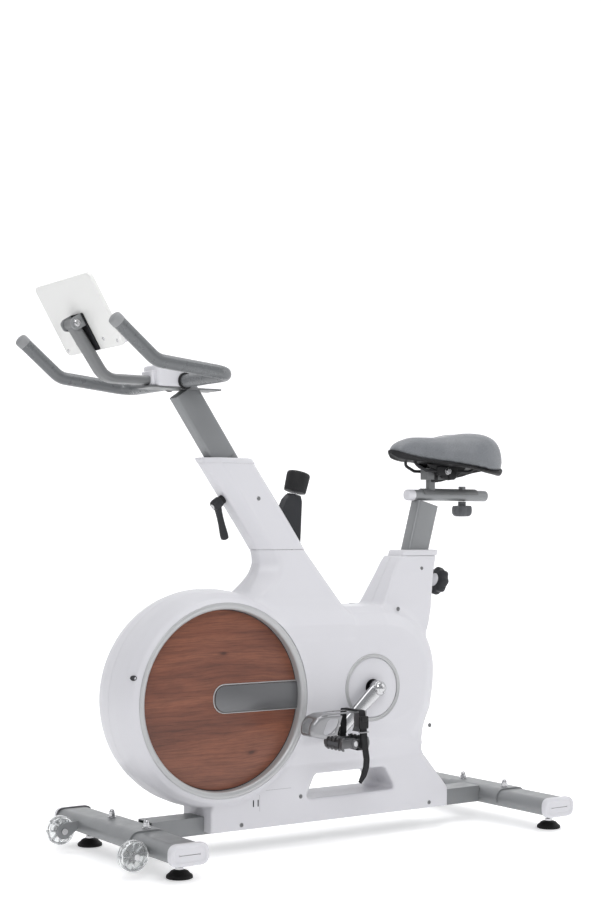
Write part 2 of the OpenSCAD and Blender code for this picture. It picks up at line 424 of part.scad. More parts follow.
module saddle_slider() place() color("gray") difference() {
  union() {
    translate([-369, 0, rail_z]) rotate([0, 90, 0]) cylinder(r = rail_r + 3, h = 165);
    translate([-233, 0, rail_z + 6]) cylinder(r = 11, h = 34);
    translate([-276, -14, 818]) cube([62, 28, 27]);
    translate([-330, 0, rail_z + 12]) cylinder(r = 9, h = 10, $fn = 6);
  }
  translate([-400, 0, rail_z]) rotate([0, 90, 0]) cylinder(r = rail_r + 0.3, h = 260);
  translate([-400, -40, rail_z - 40]) cube([260, 80, 42]);
  ybar(clamp_x, clamp_z, 4.06, -40, 40);
  translate([-330, 0, 760]) cylinder(r = 5.06, h = 60);
}
module slider_knob() place() color("dimgray") {
  translate([-330, 0, 752]) cylinder(r = 5, h = 50);
  translate([-330, 0, 757]) cylinder(r = 9.5, h = 10.4);
  difference() { translate([-330, 0, 730]) cylinder(r = 25, h = 27); for (a = [0:60:300]) translate([-330, 0, 720]) rotate(a) translate([30.5, 0, 0]) cylinder(r = 9.5, h = 60); }
}
rails = blend([[-172, 0, 858], [-200, 0, 838], [-330, 0, 838], [-350, 0, 857]], 14, 4);
module saddle_frame() place() color("black") {
  both() { ybar(clamp_x, clamp_z, 14, 14.6, 24.5); sweep([for (p = rails) [p[0], 24, p[2]]], 3.5, 3.5, [0, 1, 0], 10); }
  ybar(clamp_x, clamp_z, 4, -30, 30); ybar(clamp_x, clamp_z, 8, 27.8, 33); ybar(clamp_x, clamp_z, 8, -33, -27.8);
  translate([0, 0, 853.5]) linear_extrude(8) polygon(concat(saddle_half(4), [for (i = [len(saddle_half(4))-1:-1:0]) [saddle_half(4)[i][0], -saddle_half(4)[i][1]]]));
}
function saddle_half(t) = [[-118 - t, 14], [-122 - t, 24 - t/2], [-150, 32 - t/2], [-200, 40 - t/2], [-240, 56 - t/2], [-275, 82 - t/2], [-310, 101 - t/2], [-345, 105 - t/2], [-372, 98 - t/2], [-392, 78 - t/2], [-400 + t, 40]];
module saddle_cushion() place() color("gray") difference() {
  union() {
    translate([0, 0, 861.7]) linear_extrude(48.4) polygon(concat(saddle_half(0), [for (i = [len(saddle_half(0))-1:-1:0]) [saddle_half(0)[i][0], -saddle_half(0)[i][1]]]));
    translate([0, 0, 910]) linear_extrude(18) polygon(concat(saddle_half(12), [for (i = [len(saddle_half(12))-1:-1:0]) [saddle_half(12)[i][0], -saddle_half(12)[i][1]]]));
  }
}

main_beam();
frame_posts();
front_stabilizer();
rear_stabilizer();
front_bracket();
rear_bracket();
stabilizer_end_caps();
base_fasteners();
wheel_brackets();
left_transport_wheel();
right_transport_wheel();
front_left_foot();
front_right_foot();
rear_left_foot();
rear_right_foot();
left_shell();
right_shell();
neck_cover();
sleeve_collars();
left_drum_ring();
right_drum_ring();
left_wood_disc();
right_wood_disc();
drum_tongues();
crank_rings();
shell_screws();
bearings();
flywheel_axle();
flywheel();
drive_belt();
crank_axle();
drive_pulley();
left_crank();
right_crank();
pedal_spindles();
left_pedal_body();
left_toe_cage();
left_pedal_strap();
right_pedal_body();
right_toe_cage();
right_pedal_strap();
brake_carrier();
tension_cable();
knob_housing();
tension_spindle();
resistance_knob();
stem_post();
head_plate();
console_box();
handlebar();
tablet_arm();
tablet_tray();
tray_bracket();
stem_clamp_lever();
seat_post();
seat_knob();
saddle_slider();
slider_knob();
saddle_frame();
saddle_cushion();
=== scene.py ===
import bpy, bmesh, math
import numpy as np
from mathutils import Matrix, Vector


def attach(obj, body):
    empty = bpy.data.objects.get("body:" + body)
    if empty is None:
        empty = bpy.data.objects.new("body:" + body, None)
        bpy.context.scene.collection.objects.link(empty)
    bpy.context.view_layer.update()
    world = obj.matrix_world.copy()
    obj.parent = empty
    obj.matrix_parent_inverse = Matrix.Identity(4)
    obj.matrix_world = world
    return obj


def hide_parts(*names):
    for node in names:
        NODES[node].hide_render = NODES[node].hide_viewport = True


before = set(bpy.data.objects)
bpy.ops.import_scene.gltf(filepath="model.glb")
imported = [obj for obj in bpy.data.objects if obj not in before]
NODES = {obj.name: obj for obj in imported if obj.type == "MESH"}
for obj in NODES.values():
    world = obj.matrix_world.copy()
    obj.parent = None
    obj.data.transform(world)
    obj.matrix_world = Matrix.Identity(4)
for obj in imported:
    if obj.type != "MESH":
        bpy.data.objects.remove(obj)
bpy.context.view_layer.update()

XM = 142.7          # millimetres between the crank axis and the middle of the frame
S34, C34 = math.sin(math.radians(34.5)), math.cos(math.radians(34.5))
S15, C15 = math.sin(math.radians(15.5)), math.cos(math.radians(15.5))
DX, DZ, CZ = 387.8, 334.9, 342.4
def V(x, y, z): return ((x - XM)/1000, y/1000, z/1000)
def on_stem(u, v, s): return (350 + u*C34 + s*S34, v, 858 - u*S34 + s*C34)
def on_seat(u, v, s): return (-217 + u*C15 - s*S15, v, 766 + u*S15 + s*C15)

# ------------------------------------------------------------------ materials
def new_mat(name):
    m = bpy.data.materials.new(name); m.use_nodes = True
    nt = m.node_tree; nt.nodes.clear()
    out = nt.nodes.new("ShaderNodeOutputMaterial"); b = nt.nodes.new("ShaderNodeBsdfPrincipled")
    nt.links.new(b.outputs[0], out.inputs[0])
    return m, nt, b
def node(nt, kind, **kw):
    n = nt.nodes.new(kind)
    for k, v in kw.items():
        if k in n.inputs.keys(): n.inputs[k].default_value = v
        else: setattr(n, k, v)
    return n
def ramp(nt, src, stops, interp="LINEAR"):
    r = nt.nodes.new("ShaderNodeValToRGB"); r.color_ramp.interpolation = interp
    e = r.color_ramp.elements
    while len(e) < len(stops): e.new(0.5)
    for i, (p, c) in enumerate(stops):
        e[i].position = p; e[i].color = (c[0], c[1], c[2], 1) if hasattr(c, "__len__") else (c, c, c, 1)
    nt.links.new(src, r.inputs[0]); return r.outputs[0]
def coords(nt, scale=(1, 1, 1), rot=(0, 0, 0), loc=(0, 0, 0)):
    t = nt.nodes.new("ShaderNodeTexCoord"); m = nt.nodes.new("ShaderNodeMapping")
    m.inputs["Scale"].default_value = scale; m.inputs["Rotation"].default_value = rot; m.inputs["Location"].default_value = loc
    nt.links.new(t.outputs["Object"], m.inputs["Vector"]); return m.outputs[0]
def noise(nt, vec, scale, detail=4, rough=0.55, dist=0.0):
    n = node(nt, "ShaderNodeTexNoise"); n.inputs["Scale"].default_value = scale; n.inputs["Detail"].default_value = detail
    n.inputs["Roughness"].default_value = rough; n.inputs["Distortion"].default_value = dist
    nt.links.new(vec, n.inputs["Vector"]); return n.outputs["Fac"]
def bump(nt, h, strength, dist, prev=None):
    b = nt.nodes.new("ShaderNodeBump"); b.inputs["Strength"].default_value = strength; b.inputs["Distance"].default_value = dist
    nt.links.new(h, b.inputs["Height"])
    if prev is not None: nt.links.new(prev, b.inputs["Normal"])
    return b.outputs[0]
def edge_mask(nt, radius, gain):
    bv = nt.nodes.new("ShaderNodeBevel"); bv.samples = 4; bv.inputs["Radius"].default_value = radius
    g = nt.nodes.new("ShaderNodeNewGeometry"); d = nt.nodes.new("ShaderNodeVectorMath"); d.operation = "DOT_PRODUCT"
    nt.links.new(bv.outputs[0], d.inputs[0]); nt.links.new(g.outputs["Normal"], d.inputs[1])
    s = nt.nodes.new("ShaderNodeMath"); s.operation = "SUBTRACT"; s.inputs[0].default_value = 1.0; nt.links.new(d.outputs["Value"], s.inputs[1])
    m = nt.nodes.new("ShaderNodeMath"); m.operation = "MULTIPLY"; m.use_clamp = True; m.inputs[1].default_value = gain; nt.links.new(s.outputs[0], m.inputs[0])
    return m.outputs[0], bv.outputs[0]
def mixc(nt, fac, a, b):
    m = nt.nodes.new("ShaderNodeMix"); m.data_type = "RGBA"
    if hasattr(fac, "links"): nt.links.new(fac, m.inputs["Factor"])
    else: m.inputs["Factor"].default_value = fac
    for s, v in ((m.inputs[6], a), (m.inputs[7], b)):
        if hasattr(v, "links"): nt.links.new(v, s)
        else: s.default_value = (v[0], v[1], v[2], 1)
    return m.outputs[2]
def surface(name, base, rough, metal=0.0, vary=0.04, grain=900, grain_h=0.00006, blotch=14, edge=None, coat=0.0, spec=0.5, bevel=0.0007, rough_vary=0.08, streak=None):
    """Moulded, painted or plated finish: slow colour drift, fine grain, worn edges."""
    m, nt, b = new_mat(name)
    v = coords(nt)
    slow = noise(nt, v, blotch, 5)
    lo = [max(0, c*(1 - vary)) for c in base]; hi = [min(1, c*(1 + vary)) for c in base]
    col = ramp(nt, slow, [(0.3, lo), (0.7, hi)])
    fine = noise(nt, coords(nt, (1, 1, 1) if streak is None else streak), grain, 3, 0.6)
    em, bn = edge_mask(nt, bevel, 2.2)
    if edge is not None:
        wear = nt.nodes.new("ShaderNodeMath"); wear.operation = "MULTIPLY"
        nt.links.new(em, wear.inputs[0]); nt.links.new(ramp(nt, noise(nt, v, 160, 4, 0.7), [(0.45, 0.0), (0.7, 1.0)]), wear.inputs[1])
        col = mixc(nt, wear.outputs[0], col, edge)
    nt.links.new(col, b.inputs["Base Color"])
    nt.links.new(ramp(nt, noise(nt, v, 45, 5, 0.65), [(0.3, max(0.02, rough - rough_vary)), (0.75, min(1, rough + rough_vary))]), b.inputs["Roughness"])
    b.inputs["Metallic"].default_value = metal; b.inputs["Coat Weight"].default_value = coat; b.inputs["Coat Roughness"].default_value = 0.15
    b.inputs["Specular IOR Level"].default_value = spec
    nt.links.new(bump(nt, fine, 0.35, grain_h, bn), b.inputs["Normal"])
    return m
WHITE = surface("white_moulding", (0.60, 0.597, 0.625), 0.42, vary=0.012, grain=1400, grain_h=0.00005, coat=0.10, rough_vary=0.05, edge=(0.70, 0.70, 0.72), blotch=5)
GREY = surface("grey_powder_coat", (0.225, 0.232, 0.238), 0.40, metal=0.25, vary=0.03, grain=1600, grain_h=0.00009, edge=(0.34, 0.34, 0.34), blotch=9)
DKGREY = surface("dark_grey_powder_coat", (0.16, 0.164, 0.167), 0.42, metal=0.2, vary=0.04, grain=1500, grain_h=0.00008, edge=(0.45, 0.45, 0.45))
BARGREY = surface("handlebar_grey", (0.130, 0.136, 0.141), 0.30, metal=0.15, vary=0.05, grain=1900, grain_h=0.00012, edge=(0.4, 0.4, 0.4))
BARTIP = surface("handlebar_tip", (0.24, 0.245, 0.25), 0.5, vary=0.03, grain=1500)
TRAYW = surface("tray_white", (0.74, 0.74, 0.725), 0.34, vary=0.01, grain=1400, grain_h=0.00004, coat=0.15, rough_vary=0.05, edge=(0.95, 0.95, 0.94), blotch=5)
SILVER = surface("silver_ring_coat", (0.44, 0.444, 0.45), 0.40, metal=0.35, vary=0.02, grain=2200, grain_h=0.000004, coat=0.3, rough_vary=0.05)
TONGUE = surface("satin_grey_panel", (0.145, 0.147, 0.152), 0.33, metal=0.55, vary=0.02, grain=2500, grain_h=0.00003, streak=(1, 1, 14), rough_vary=0.05)
CHROME = surface("polished_chrome", (0.52, 0.52, 0.53), 0.20, metal=1.0, vary=0.02, grain=600, grain_h=0.000004, rough_vary=0.05)
STEEL = surface("zinc_plated_steel", (0.58, 0.58, 0.59), 0.28, metal=1.0, vary=0.05, grain=900, grain_h=0.00005, edge=(0.8, 0.8, 0.8))
PLATE = surface("bright_plate", (0.30, 0.30, 0.31), 0.34, metal=0.7, vary=0.04, grain=500, grain_h=0.000008, streak=(1, 8, 1))
BLACKM = surface("black_paint", (0.022, 0.022, 0.024), 0.38, vary=0.1, grain=1400, edge=(0.18, 0.18, 0.18), spec=0.16)
BLACKP = surface("black_moulding", (0.020, 0.020, 0.021), 0.50, vary=0.12, grain=1700, grain_h=0.0001, edge=(0.07, 0.07, 0.07), spec=0.16)
CHARC = surface("charcoal_moulding", (0.030, 0.031, 0.034), 0.44, vary=0.08, grain=1700, grain_h=0.0001, edge=(0.16, 0.16, 0.17), spec=0.16)
MIDCH = surface("knob_grey", (0.105, 0.108, 0.115), 0.45, vary=0.06, grain=1500, grain_h=0.0001, edge=(0.2, 0.2, 0.21), spec=0.16)
RUBBER = surface("foot_rubber", (0.013, 0.013, 0.013), 0.55, vary=0.15, grain=1200, grain_h=0.00015, spec=0.16)
CAST = surface("cast_iron", (0.16, 0.16, 0.165), 0.4, metal=0.9, vary=0.1, grain=600, grain_h=0.0002)
PEDAL = surface("pedal_alloy", (0.13, 0.13, 0.135), 0.35, metal=0.8, vary=0.12, grain=700, grain_h=0.00015, edge=(0.5, 0.5, 0.5))
# dark fill for slots, gaps, bores and recesses: painted shade standing in for the dark inside the openings
PAINTED_GAP_SHADE = surface("painted_gap_shade", (0.05, 0.05, 0.055), 0.7, vary=0.1, spec=0.16)
LEDGE = surface("grey_seam", (0.30, 0.30, 0.32), 0.6, vary=0.05)

def wood():
    m, nt, b = new_mat("walnut_face")
    v = coords(nt)
    warp = noise(nt, coords(nt, (1.4, 1, 5)), 2.2, 3, 0.5)
    vm = nt.nodes.new("ShaderNodeVectorMath"); vm.operation = "SCALE"; vm.inputs["Scale"].default_value = 0.035
    cmb = nt.nodes.new("ShaderNodeCombineXYZ"); nt.links.new(warp, cmb.inputs["Z"]); nt.links.new(cmb.outputs[0], vm.inputs[0])
    add = nt.nodes.new("ShaderNodeVectorMath"); add.operation = "ADD"; nt.links.new(v, add.inputs[0]); nt.links.new(vm.outputs[0], add.inputs[1])
    def stretched(sx, sz):
        mp = nt.nodes.new("ShaderNodeMapping"); mp.inputs["Scale"].default_value = (sx, 1, sz); nt.links.new(add.outputs[0], mp.inputs["Vector"]); return mp.outputs[0]
    bands = noise(nt, stretched(1.3, 16), 1.0, 6, 0.62, 0.5)
    fibre = noise(nt, stretched(10, 260), 1.0, 5, 0.7, 0.1)
    pores = noise(nt, stretched(45, 1100), 1.0, 2, 0.6)
    col = ramp(nt, bands, [(0.26, (0.092, 0.026, 0.013)), (0.42, (0.160, 0.048, 0.024)), (0.52, (0.216, 0.071, 0.036)), (0.62, (0.180, 0.055, 0.028)), (0.78, (0.264, 0.094, 0.051))])
    dark = ramp(nt, fibre, [(0.38, 0.55), (0.56, 1.0)])
    mul = nt.nodes.new("ShaderNodeMix"); mul.data_type = "RGBA"; mul.blend_type = "MULTIPLY"; mul.inputs["Factor"].default_value = 0.75
    nt.links.new(col, mul.inputs[6]); nt.links.new(dark, mul.inputs[7])
    cur = mul.outputs[2]
    p = nt.nodes.new("ShaderNodeMix"); p.data_type = "RGBA"; p.blend_type = "MULTIPLY"; p.inputs["Factor"].default_value = 0.5
    nt.links.new(cur, p.inputs[6]); nt.links.new(ramp(nt, pores, [(0.34, 0.45), (0.46, 1.0)]), p.inputs[7]); cur = p.outputs[2]
    for kx, kz, r in ((382, 446, 0.0075), (312, 237, 0.0085)):
        c = V(kx, 0, kz)
        mp = nt.nodes.new("ShaderNodeMapping"); mp.vector_type = "TEXTURE"; mp.inputs["Location"].default_value = (c[0], 0, c[2]); mp.inputs["Scale"].default_value = (r*2.4, 5, r)
        nt.links.new(add.outputs[0], mp.inputs["Vector"])
        g = nt.nodes.new("ShaderNodeTexGradient"); g.gradient_type = "SPHERICAL"; nt.links.new(mp.outputs[0], g.inputs[0])
        mk = nt.nodes.new("ShaderNodeMix"); mk.data_type = "RGBA"; mk.blend_type = "MULTIPLY"
        nt.links.new(ramp(nt, g.outputs["Fac"], [(0.0, 0.0), (0.45, 0.35), (0.8, 0.9)]), mk.inputs["Factor"])
        nt.links.new(cur, mk.inputs[6]); mk.inputs[7].default_value = (0.22, 0.13, 0.10, 1); cur = mk.outputs[2]
    nt.links.new(cur, b.inputs["Base Color"])
    nt.links.new(ramp(nt, fibre, [(0.3, 0.5), (0.7, 0.36)]), b.inputs["Roughness"])
    b.inputs["Coat Weight"].default_value = 0.12; b.inputs["Coat Roughness"].default_value = 0.3
    n1 = bump(nt, fibre, 0.25, 0.0003); nt.links.new(bump(nt, pores, 0.3, 0.0002, n1), b.inputs["Normal"])
    return m
WOOD = wood()
def leather():
    m, nt, b = new_mat("grey_leatherette")
    v = coords(nt)
    vo = node(nt, "ShaderNodeTexVoronoi", feature="DISTANCE_TO_EDGE"); vo.inputs["Scale"].default_value = 620; nt.links.new(v, vo.inputs["Vector"])
    cells = ramp(nt, vo.outputs["Distance"], [(0.0, 0.0), (0.22, 1.0)])
    slow = noise(nt, v, 22, 5, 0.6)
    col = ramp(nt, slow, [(0.3, (0.185, 0.196, 0.210)), (0.7, (0.215, 0.226, 0.242))])
    mul = nt.nodes.new("ShaderNodeMix"); mul.data_type = "RGBA"; mul.blend_type = "MULTIPLY"; mul.inputs["Factor"].default_value = 0.35
    nt.links.new(col, mul.inputs[6]); nt.links.new(cells, mul.inputs[7]); nt.links.new(mul.outputs[2], b.inputs["Base Color"])
    nt.links.new(ramp(nt, noise(nt, v, 60, 4), [(0.3, 0.30), (0.7, 0.40)]), b.inputs["Roughness"])
    b.inputs["Sheen Weight"].default_value = 0.06
    n1 = bump(nt, cells, 0.4, 0.00022); n2 = bump(nt, noise(nt, v, 90, 5, 0.7), 0.25, 0.0005, n1)
    nt.links.new(n2, b.inputs["Normal"]); return m
LEATHER = leather()
def clear():
    m, nt, b = new_mat("clear_polycarbonate")
    v = coords(nt)
    nt.links.new(ramp(nt, noise(nt, v, 60, 4), [(0.3, (0.88, 0.90, 0.91)), (0.7, (0.97, 0.98, 0.98))]), b.inputs["Base Color"])
    nt.links.new(ramp(nt, noise(nt, v, 200, 4), [(0.35, 0.05), (0.7, 0.16)]), b.inputs["Roughness"])
    b.inputs["Transmission Weight"].default_value = 0.82; b.inputs["IOR"].default_value = 1.5
    nt.links.new(bump(nt, noise(nt, v, 300, 3), 0.2, 0.0002), b.inputs["Normal"]); return m
CLEAR = clear()
def strapmat():
    m, nt, b = new_mat("black_strap")
    v = coords(nt)
    w = node(nt, "ShaderNodeTexWave", wave_type="BANDS"); w.bands_direction = "Z"; w.inputs["Scale"].default_value = 220; w.inputs["Distortion"].default_value = 0.4
    nt.links.new(v, w.inputs["Vector"])
    nt.links.new(ramp(nt, noise(nt, v, 80, 4), [(0.3, (0.010, 0.010, 0.011)), (0.7, (0.022, 0.022, 0.024))]), b.inputs["Base Color"]); b.inputs["Specular IOR Level"].default_value = 0.15
    nt.links.new(ramp(nt, w.outputs["Fac"], [(0.2, 0.40), (0.8, 0.55)]), b.inputs["Roughness"])
    nt.links.new(bump(nt, w.outputs["Fac"], 0.4, 0.0002), b.inputs["Normal"]); return m
STRAP = strapmat()

# ------------------------------------------------------------------ mesh tools
def make(name, verts, faces, mat, body, nodes=(), smooth=True, angle=40, scale=True):
    me = bpy.data.meshes.new(name)
    vs = np.asarray(verts, dtype=float)
    if scale: vs = np.column_stack(((vs[:, 0] - XM)/1000, vs[:, 1]/1000, vs[:, 2]/1000))
    me.from_pydata(vs.tolist(), [], [tuple(int(i) for i in f) for f in faces]); me.validate(); me.update()
    o = bpy.data.objects.new(name, me); bpy.context.collection.objects.link(o)
    me.materials.append(mat)
    if smooth:
        for p in me.polygons: p.use_smooth = True
        if angle: me.set_sharp_from_angle(angle=math.radians(angle))
    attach(o, body)
    if nodes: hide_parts(*nodes)
    return o
def join(parts):
    vs, fs, k = [], [], 0
    for v, f in parts:
        vs.extend(np.asarray(v).tolist()); fs.extend([[i + k for i in q] for q in f]); k += len(v)
    return vs, fs
def lathe(profile, n=96, rad=None, axis="y", at=(0, 0, 0), close=False):
    """profile of (radius, along); rad(theta, r) may change the radius. Axis along +Y or +Z."""
    vs, fs = [], []
    m = len(profile)
    for i in range(n):
        t = 2*math.pi*i/n; c, s = math.cos(t), math.sin(t)
        for r, h in profile:
            q = rad(t, r, h) if rad else r
            vs.append((at[0] + q*c, at[1] + h, at[2] + q*s) if axis == "y" else (at[0] + q*c, at[1] + q*s, at[2] + h))
    flip = axis == "y"
    for i in range(n):
        j = (i + 1) % n
        for k in range(m if close else m - 1):
            a, b2, c2, d = i*m + k, j*m + k, j*m + (k + 1) % m, i*m + (k + 1) % m
            fs.append((a, d, c2, b2) if flip else (a, b2, c2, d))
    return vs, fs
def mirror_y(vf):
    v, f = vf; return [(p[0], -p[1], p[2]) for p in v], [tuple(reversed(q)) for q in f]
def spin(v, origin, axis, ang):
    from mathutils import Matrix
    R = Matrix.Rotation(ang, 3, Vector(axis)); o = Vector(origin)
    return [tuple(o + R @ (Vector(p) - o)) for p in v]
def fillet(P, R, n=5):
    out = []
    m = len(P)
    for i in range(m):
        r = R[i] if hasattr(R, "__len__") else R
        p, a, b = np.array(P[i], float), np.array(P[i - 1], float), np.array(P[(i + 1) % m], float)
        if r <= 0: out.append(tuple(p)); continue
        u, w = a - p, b - p; lu, lw = np.linalg.norm(u), np.linalg.norm(w); u /= lu; w /= lw
        ang = math.acos(max(-1, min(1, float(u @ w))))
        d = min(r/math.tan(ang/2), 0.48*lu, 0.48*lw)
        for k in range(n + 1):
            t = k/n
            out.append(tuple((1 - t)**2*(p + u*d) + 2*t*(1 - t)*p + t*t*(p + w*d)))
    return out
def path(P, r, n=8):
    """open path with rounded corners"""
    out = [np.array(P[0], float)]
    for i in range(1, len(P) - 1):
        p, a, b = np.array(P[i], float), np.array(P[i - 1], float), np.array(P[i + 1], float)
        u, w = a - p, b - p; lu, lw = np.linalg.norm(u), np.linalg.norm(w); u /= lu; w /= lw
        ang = math.acos(max(-1, min(1, float(u @ w))))
        rr = r[i] if hasattr(r, "__len__") else r
        rad = rr; d = min(rad/math.tan(ang/2), 0.49*lu, 0.49*lw)
        bis = u + w; bis /= np.linalg.norm(bis); rad = d*math.tan(ang/2); cen = p + bis*(rad/math.sin(ang/2))
        s, e = p + u*d - cen, p + w*d - cen
        tot = math.acos(max(-1, min(1, float(s @ e)/(np.linalg.norm(s)*np.linalg.norm(e)))))
        for k in range(n + 1):
            t = k/n
            q = (math.sin((1 - t)*tot)*s + math.sin(t*tot)*e)/max(1e-9, math.sin(tot)) if tot > 1e-4 else s*(1 - t) + e*t
            out.append(cen + q)
    out.append(np.array(P[-1], float)); return out
def sweep(pts, a, b, ref, n=32, cap=0.0, power=2.0):
    """tube along pts, half sizes a (across) and b (along ref); ends closed, rounded over cap millimetres"""
    pts = [np.array(p, float) for p in pts]
    ref = np.array(ref, float)
    T = []
    for i in range(len(pts)):
        t = pts[min(i + 1, len(pts) - 1)] - pts[max(i - 1, 0)]; T.append(t/np.linalg.norm(t))
    st = []
    if cap > 0:
        for k in range(6, 0, -1):
            q = k/6.0; st.append((pts[0] - T[0]*(cap*math.sin(q*math.pi/2)), T[0], max(0.02, math.cos(q*math.pi/2))))
    st += [(p, t, 1.0) for p, t in zip(pts, T)]
    if cap > 0:
        for k in range(1, 7):
            q = k/6.0; st.append((pts[-1] + T[-1]*(cap*math.sin(q*math.pi/2)), T[-1], max(0.02, math.cos(q*math.pi/2))))
    vs, fs = [], []
    for p, t, s in st:
        side = np.cross(ref, t); side /= np.linalg.norm(side); up = np.cross(t, side)
        for j in range(n):
            w = 2*math.pi*j/n; c, q = math.cos(w), math.sin(w)
            c = math.copysign(abs(c)**(2/power), c); q = math.copysign(abs(q)**(2/power), q)
            vs.append(tuple(p + side*(a*c*s) + up*(b*q*s)))
    for i in range(len(st) - 1):
        for j in range(n):
            k = (j + 1) % n; fs.append((i*n + j, i*n + k, (i + 1)*n + k, (i + 1)*n + j))
    fs.append(tuple(range(n))[::-1]); fs.append(tuple((len(st) - 1)*n + j for j in range(n)))
    return vs, fs
def prism(poly, h0, h1, put, bevel=1.0, seg=2):
    """outline (a, b) extruded from h0 to h1 with rolled edges; put(a, b, h) gives the place"""
    P = np.array(poly, float); m = len(P)
    area = 0.5*np.sum(P[:, 0]*np.roll(P[:, 1], -1) - np.roll(P[:, 0], -1)*P[:, 1])
    if area < 0: P = P[::-1]
    d = np.roll(P, -1, 0) - P; d /= np.linalg.norm(d, axis=1)[:, None] + 1e-12
    nn = np.column_stack((d[:, 1], -d[:, 0])); vn = nn + np.roll(nn, 1, 0); vn /= np.maximum(1e-9, np.sum(vn*nn, 1))[:, None]
    rings = []
    for k in range(seg + 1):
        t = math.pi/2*k/seg; rings.append((-bevel*(1 - math.sin(t)), h0 + bevel*(1 - math.cos(t))))
    rings += [(q[0], h1 - (q[1] - h0)) for q in reversed(rings)]
    vs, fs = [], []
    for off, h in rings:
        for p, q in zip(P, vn): vs.append(put(p[0] + q[0]*off, p[1] + q[1]*off, h))
    for i in range(len(rings) - 1):
        for j in range(m):
            k = (j + 1) % m; fs.append((i*m + j, i*m + k, (i + 1)*m + k, (i + 1)*m + j))
    fs.append(tuple(range(m))[::-1]); fs.append(tuple((len(rings) - 1)*m + j for j in range(m)))
    return vs, fs
def fix(o):
    bm = bmesh.new(); bm.from_mesh(o.data); bmesh.ops.recalc_face_normals(bm, faces=bm.faces); bm.to_mesh(o.data); bm.free(); return o
def paint(name, mat):
    o = NODES[name]
    for i in range(len(o.material_slots)): o.material_slots[i].material = mat
    if not o.material_slots: o.data.materials.append(mat)
    return o

# ------------------------------------------------------------------ implicit surfaces
def poly2(P, x, y):
    d = 1e18; s = 1.0; n = len(P); j = n - 1
    for i in range(n):
        ex, ey = P[j][0] - P[i][0], P[j][1] - P[i][1]
        if ex*ex + ey*ey < 1e-9: continue
        wx, wy = x - P[i][0], y - P[i][1]
        t = np.clip((wx*ex + wy*ey)/(ex*ex + ey*ey), 0, 1)
        d = np.minimum(d, (wx - ex*t)**2 + (wy - ey*t)**2)
        c1 = y >= P[i][1]; c2 = y < P[j][1]; c3 = ex*wy > ey*wx
        s = np.where((c1 & c2 & c3) | (~c1 & ~c2 & ~c3), -s, s)
        j = i
    return s*np.sqrt(d)
def smin(a, b, k):
    h = np.clip(0.5 + 0.5*(b - a)/k, 0, 1); return b + (a - b)*h - k*h*(1 - h)
def smax(a, b, k): return -smin(-a, -b, k)
def nets(f, lo, hi, h, steps=3):
    ax = [np.arange(lo[i], hi[i] + h, h) for i in range(3)]
    D = f(ax[0][:, None, None], ax[1][None, :, None], ax[2][None, None, :])
    D = np.broadcast_to(D, [len(a) for a in ax]).astype(np.float32); S = D < 0
    sh = [s - 1 for s in D.shape]
    def cut(A, o): return A[o[0]:o[0] + sh[0], o[1]:o[1] + sh[1], o[2]:o[2] + sh[2]]
    cn = [(i, j, k) for i in (0, 1) for j in (0, 1) for k in (0, 1)]
    cnt = sum(cut(S, o).astype(np.int8) for o in cn); cell = (cnt > 0) & (cnt < 8)
    I = np.argwhere(cell); idx = -np.ones(sh, dtype=np.int64); idx[cell] = np.arange(len(I))
    pos = np.zeros((len(I), 3)); num = np.zeros(len(I))
    for o in cn:
        for a in range(3):
            if o[a]: continue
            q = list(o); q[a] = 1
            da = D[I[:, 0] + o[0], I[:, 1] + o[1], I[:, 2] + o[2]]; db = D[I[:, 0] + q[0], I[:, 1] + q[1], I[:, 2] + q[2]]
            c = (da < 0) != (db < 0); t = np.where(c, da/np.where(c, da - db, 1), 0)
            p = np.array(o, float)[None, :].repeat(len(I), 0); p[:, a] += t
            pos[c] += p[c]; num[c] += 1
    v = (I + pos/num[:, None])*h + np.array(lo)
    quads = []
    for a in range(3):
        b, c = (a + 1) % 3, (a + 2) % 3
        s0 = [slice(1, -1)]*3; s1 = [slice(1, -1)]*3; s0[a] = slice(0, -1); s1[a] = slice(1, None)
        A, B = S[tuple(s0)], S[tuple(s1)]
        E = np.argwhere(A != B); off = np.ones(3, int); off[a] = 0; g = E + off
        inside = A[tuple(E.T)]
        def at(db, dc):
            q = g.copy(); q[:, b] -= db; q[:, c] -= dc
            return idx[q[:, 0], q[:, 1], q[:, 2]]
        Q = np.stack((at(1, 1), at(0, 1), at(0, 0), at(1, 0)), 1)
        Q[~inside] = Q[~inside][:, ::-1]; quads.append(Q)
    Q = np.concatenate(quads); Q = Q[(Q >= 0).all(1)]
    for _ in range(steps):
        e = 0.6; d = f(v[:, 0], v[:, 1], v[:, 2])
        g = np.stack([(f(*(v + e*np.eye(3)[k]).T) - f(*(v - e*np.eye(3)[k]).T))/(2*e) for k in range(3)], 1)
        step = g*(d/np.maximum(0.2, (g*g).sum(1)))[:, None]; ln = np.linalg.norm(step, axis=1)
        v = v - step*np.minimum(1, 0.45*h/np.maximum(ln, 1e-9))[:, None]
    return v, Q
def drop(v, q, faces_out, snap=None):
    keep = q[~faces_out]; used = np.zeros(len(v), bool); used[keep.ravel()] = True
    if snap is not None:
        lost = np.zeros(len(v), bool); lost[q[faces_out].ravel()] = True
        v = snap(v, used & lost)
    m = np.cumsum(used) - 1; return v[used], m[keep]

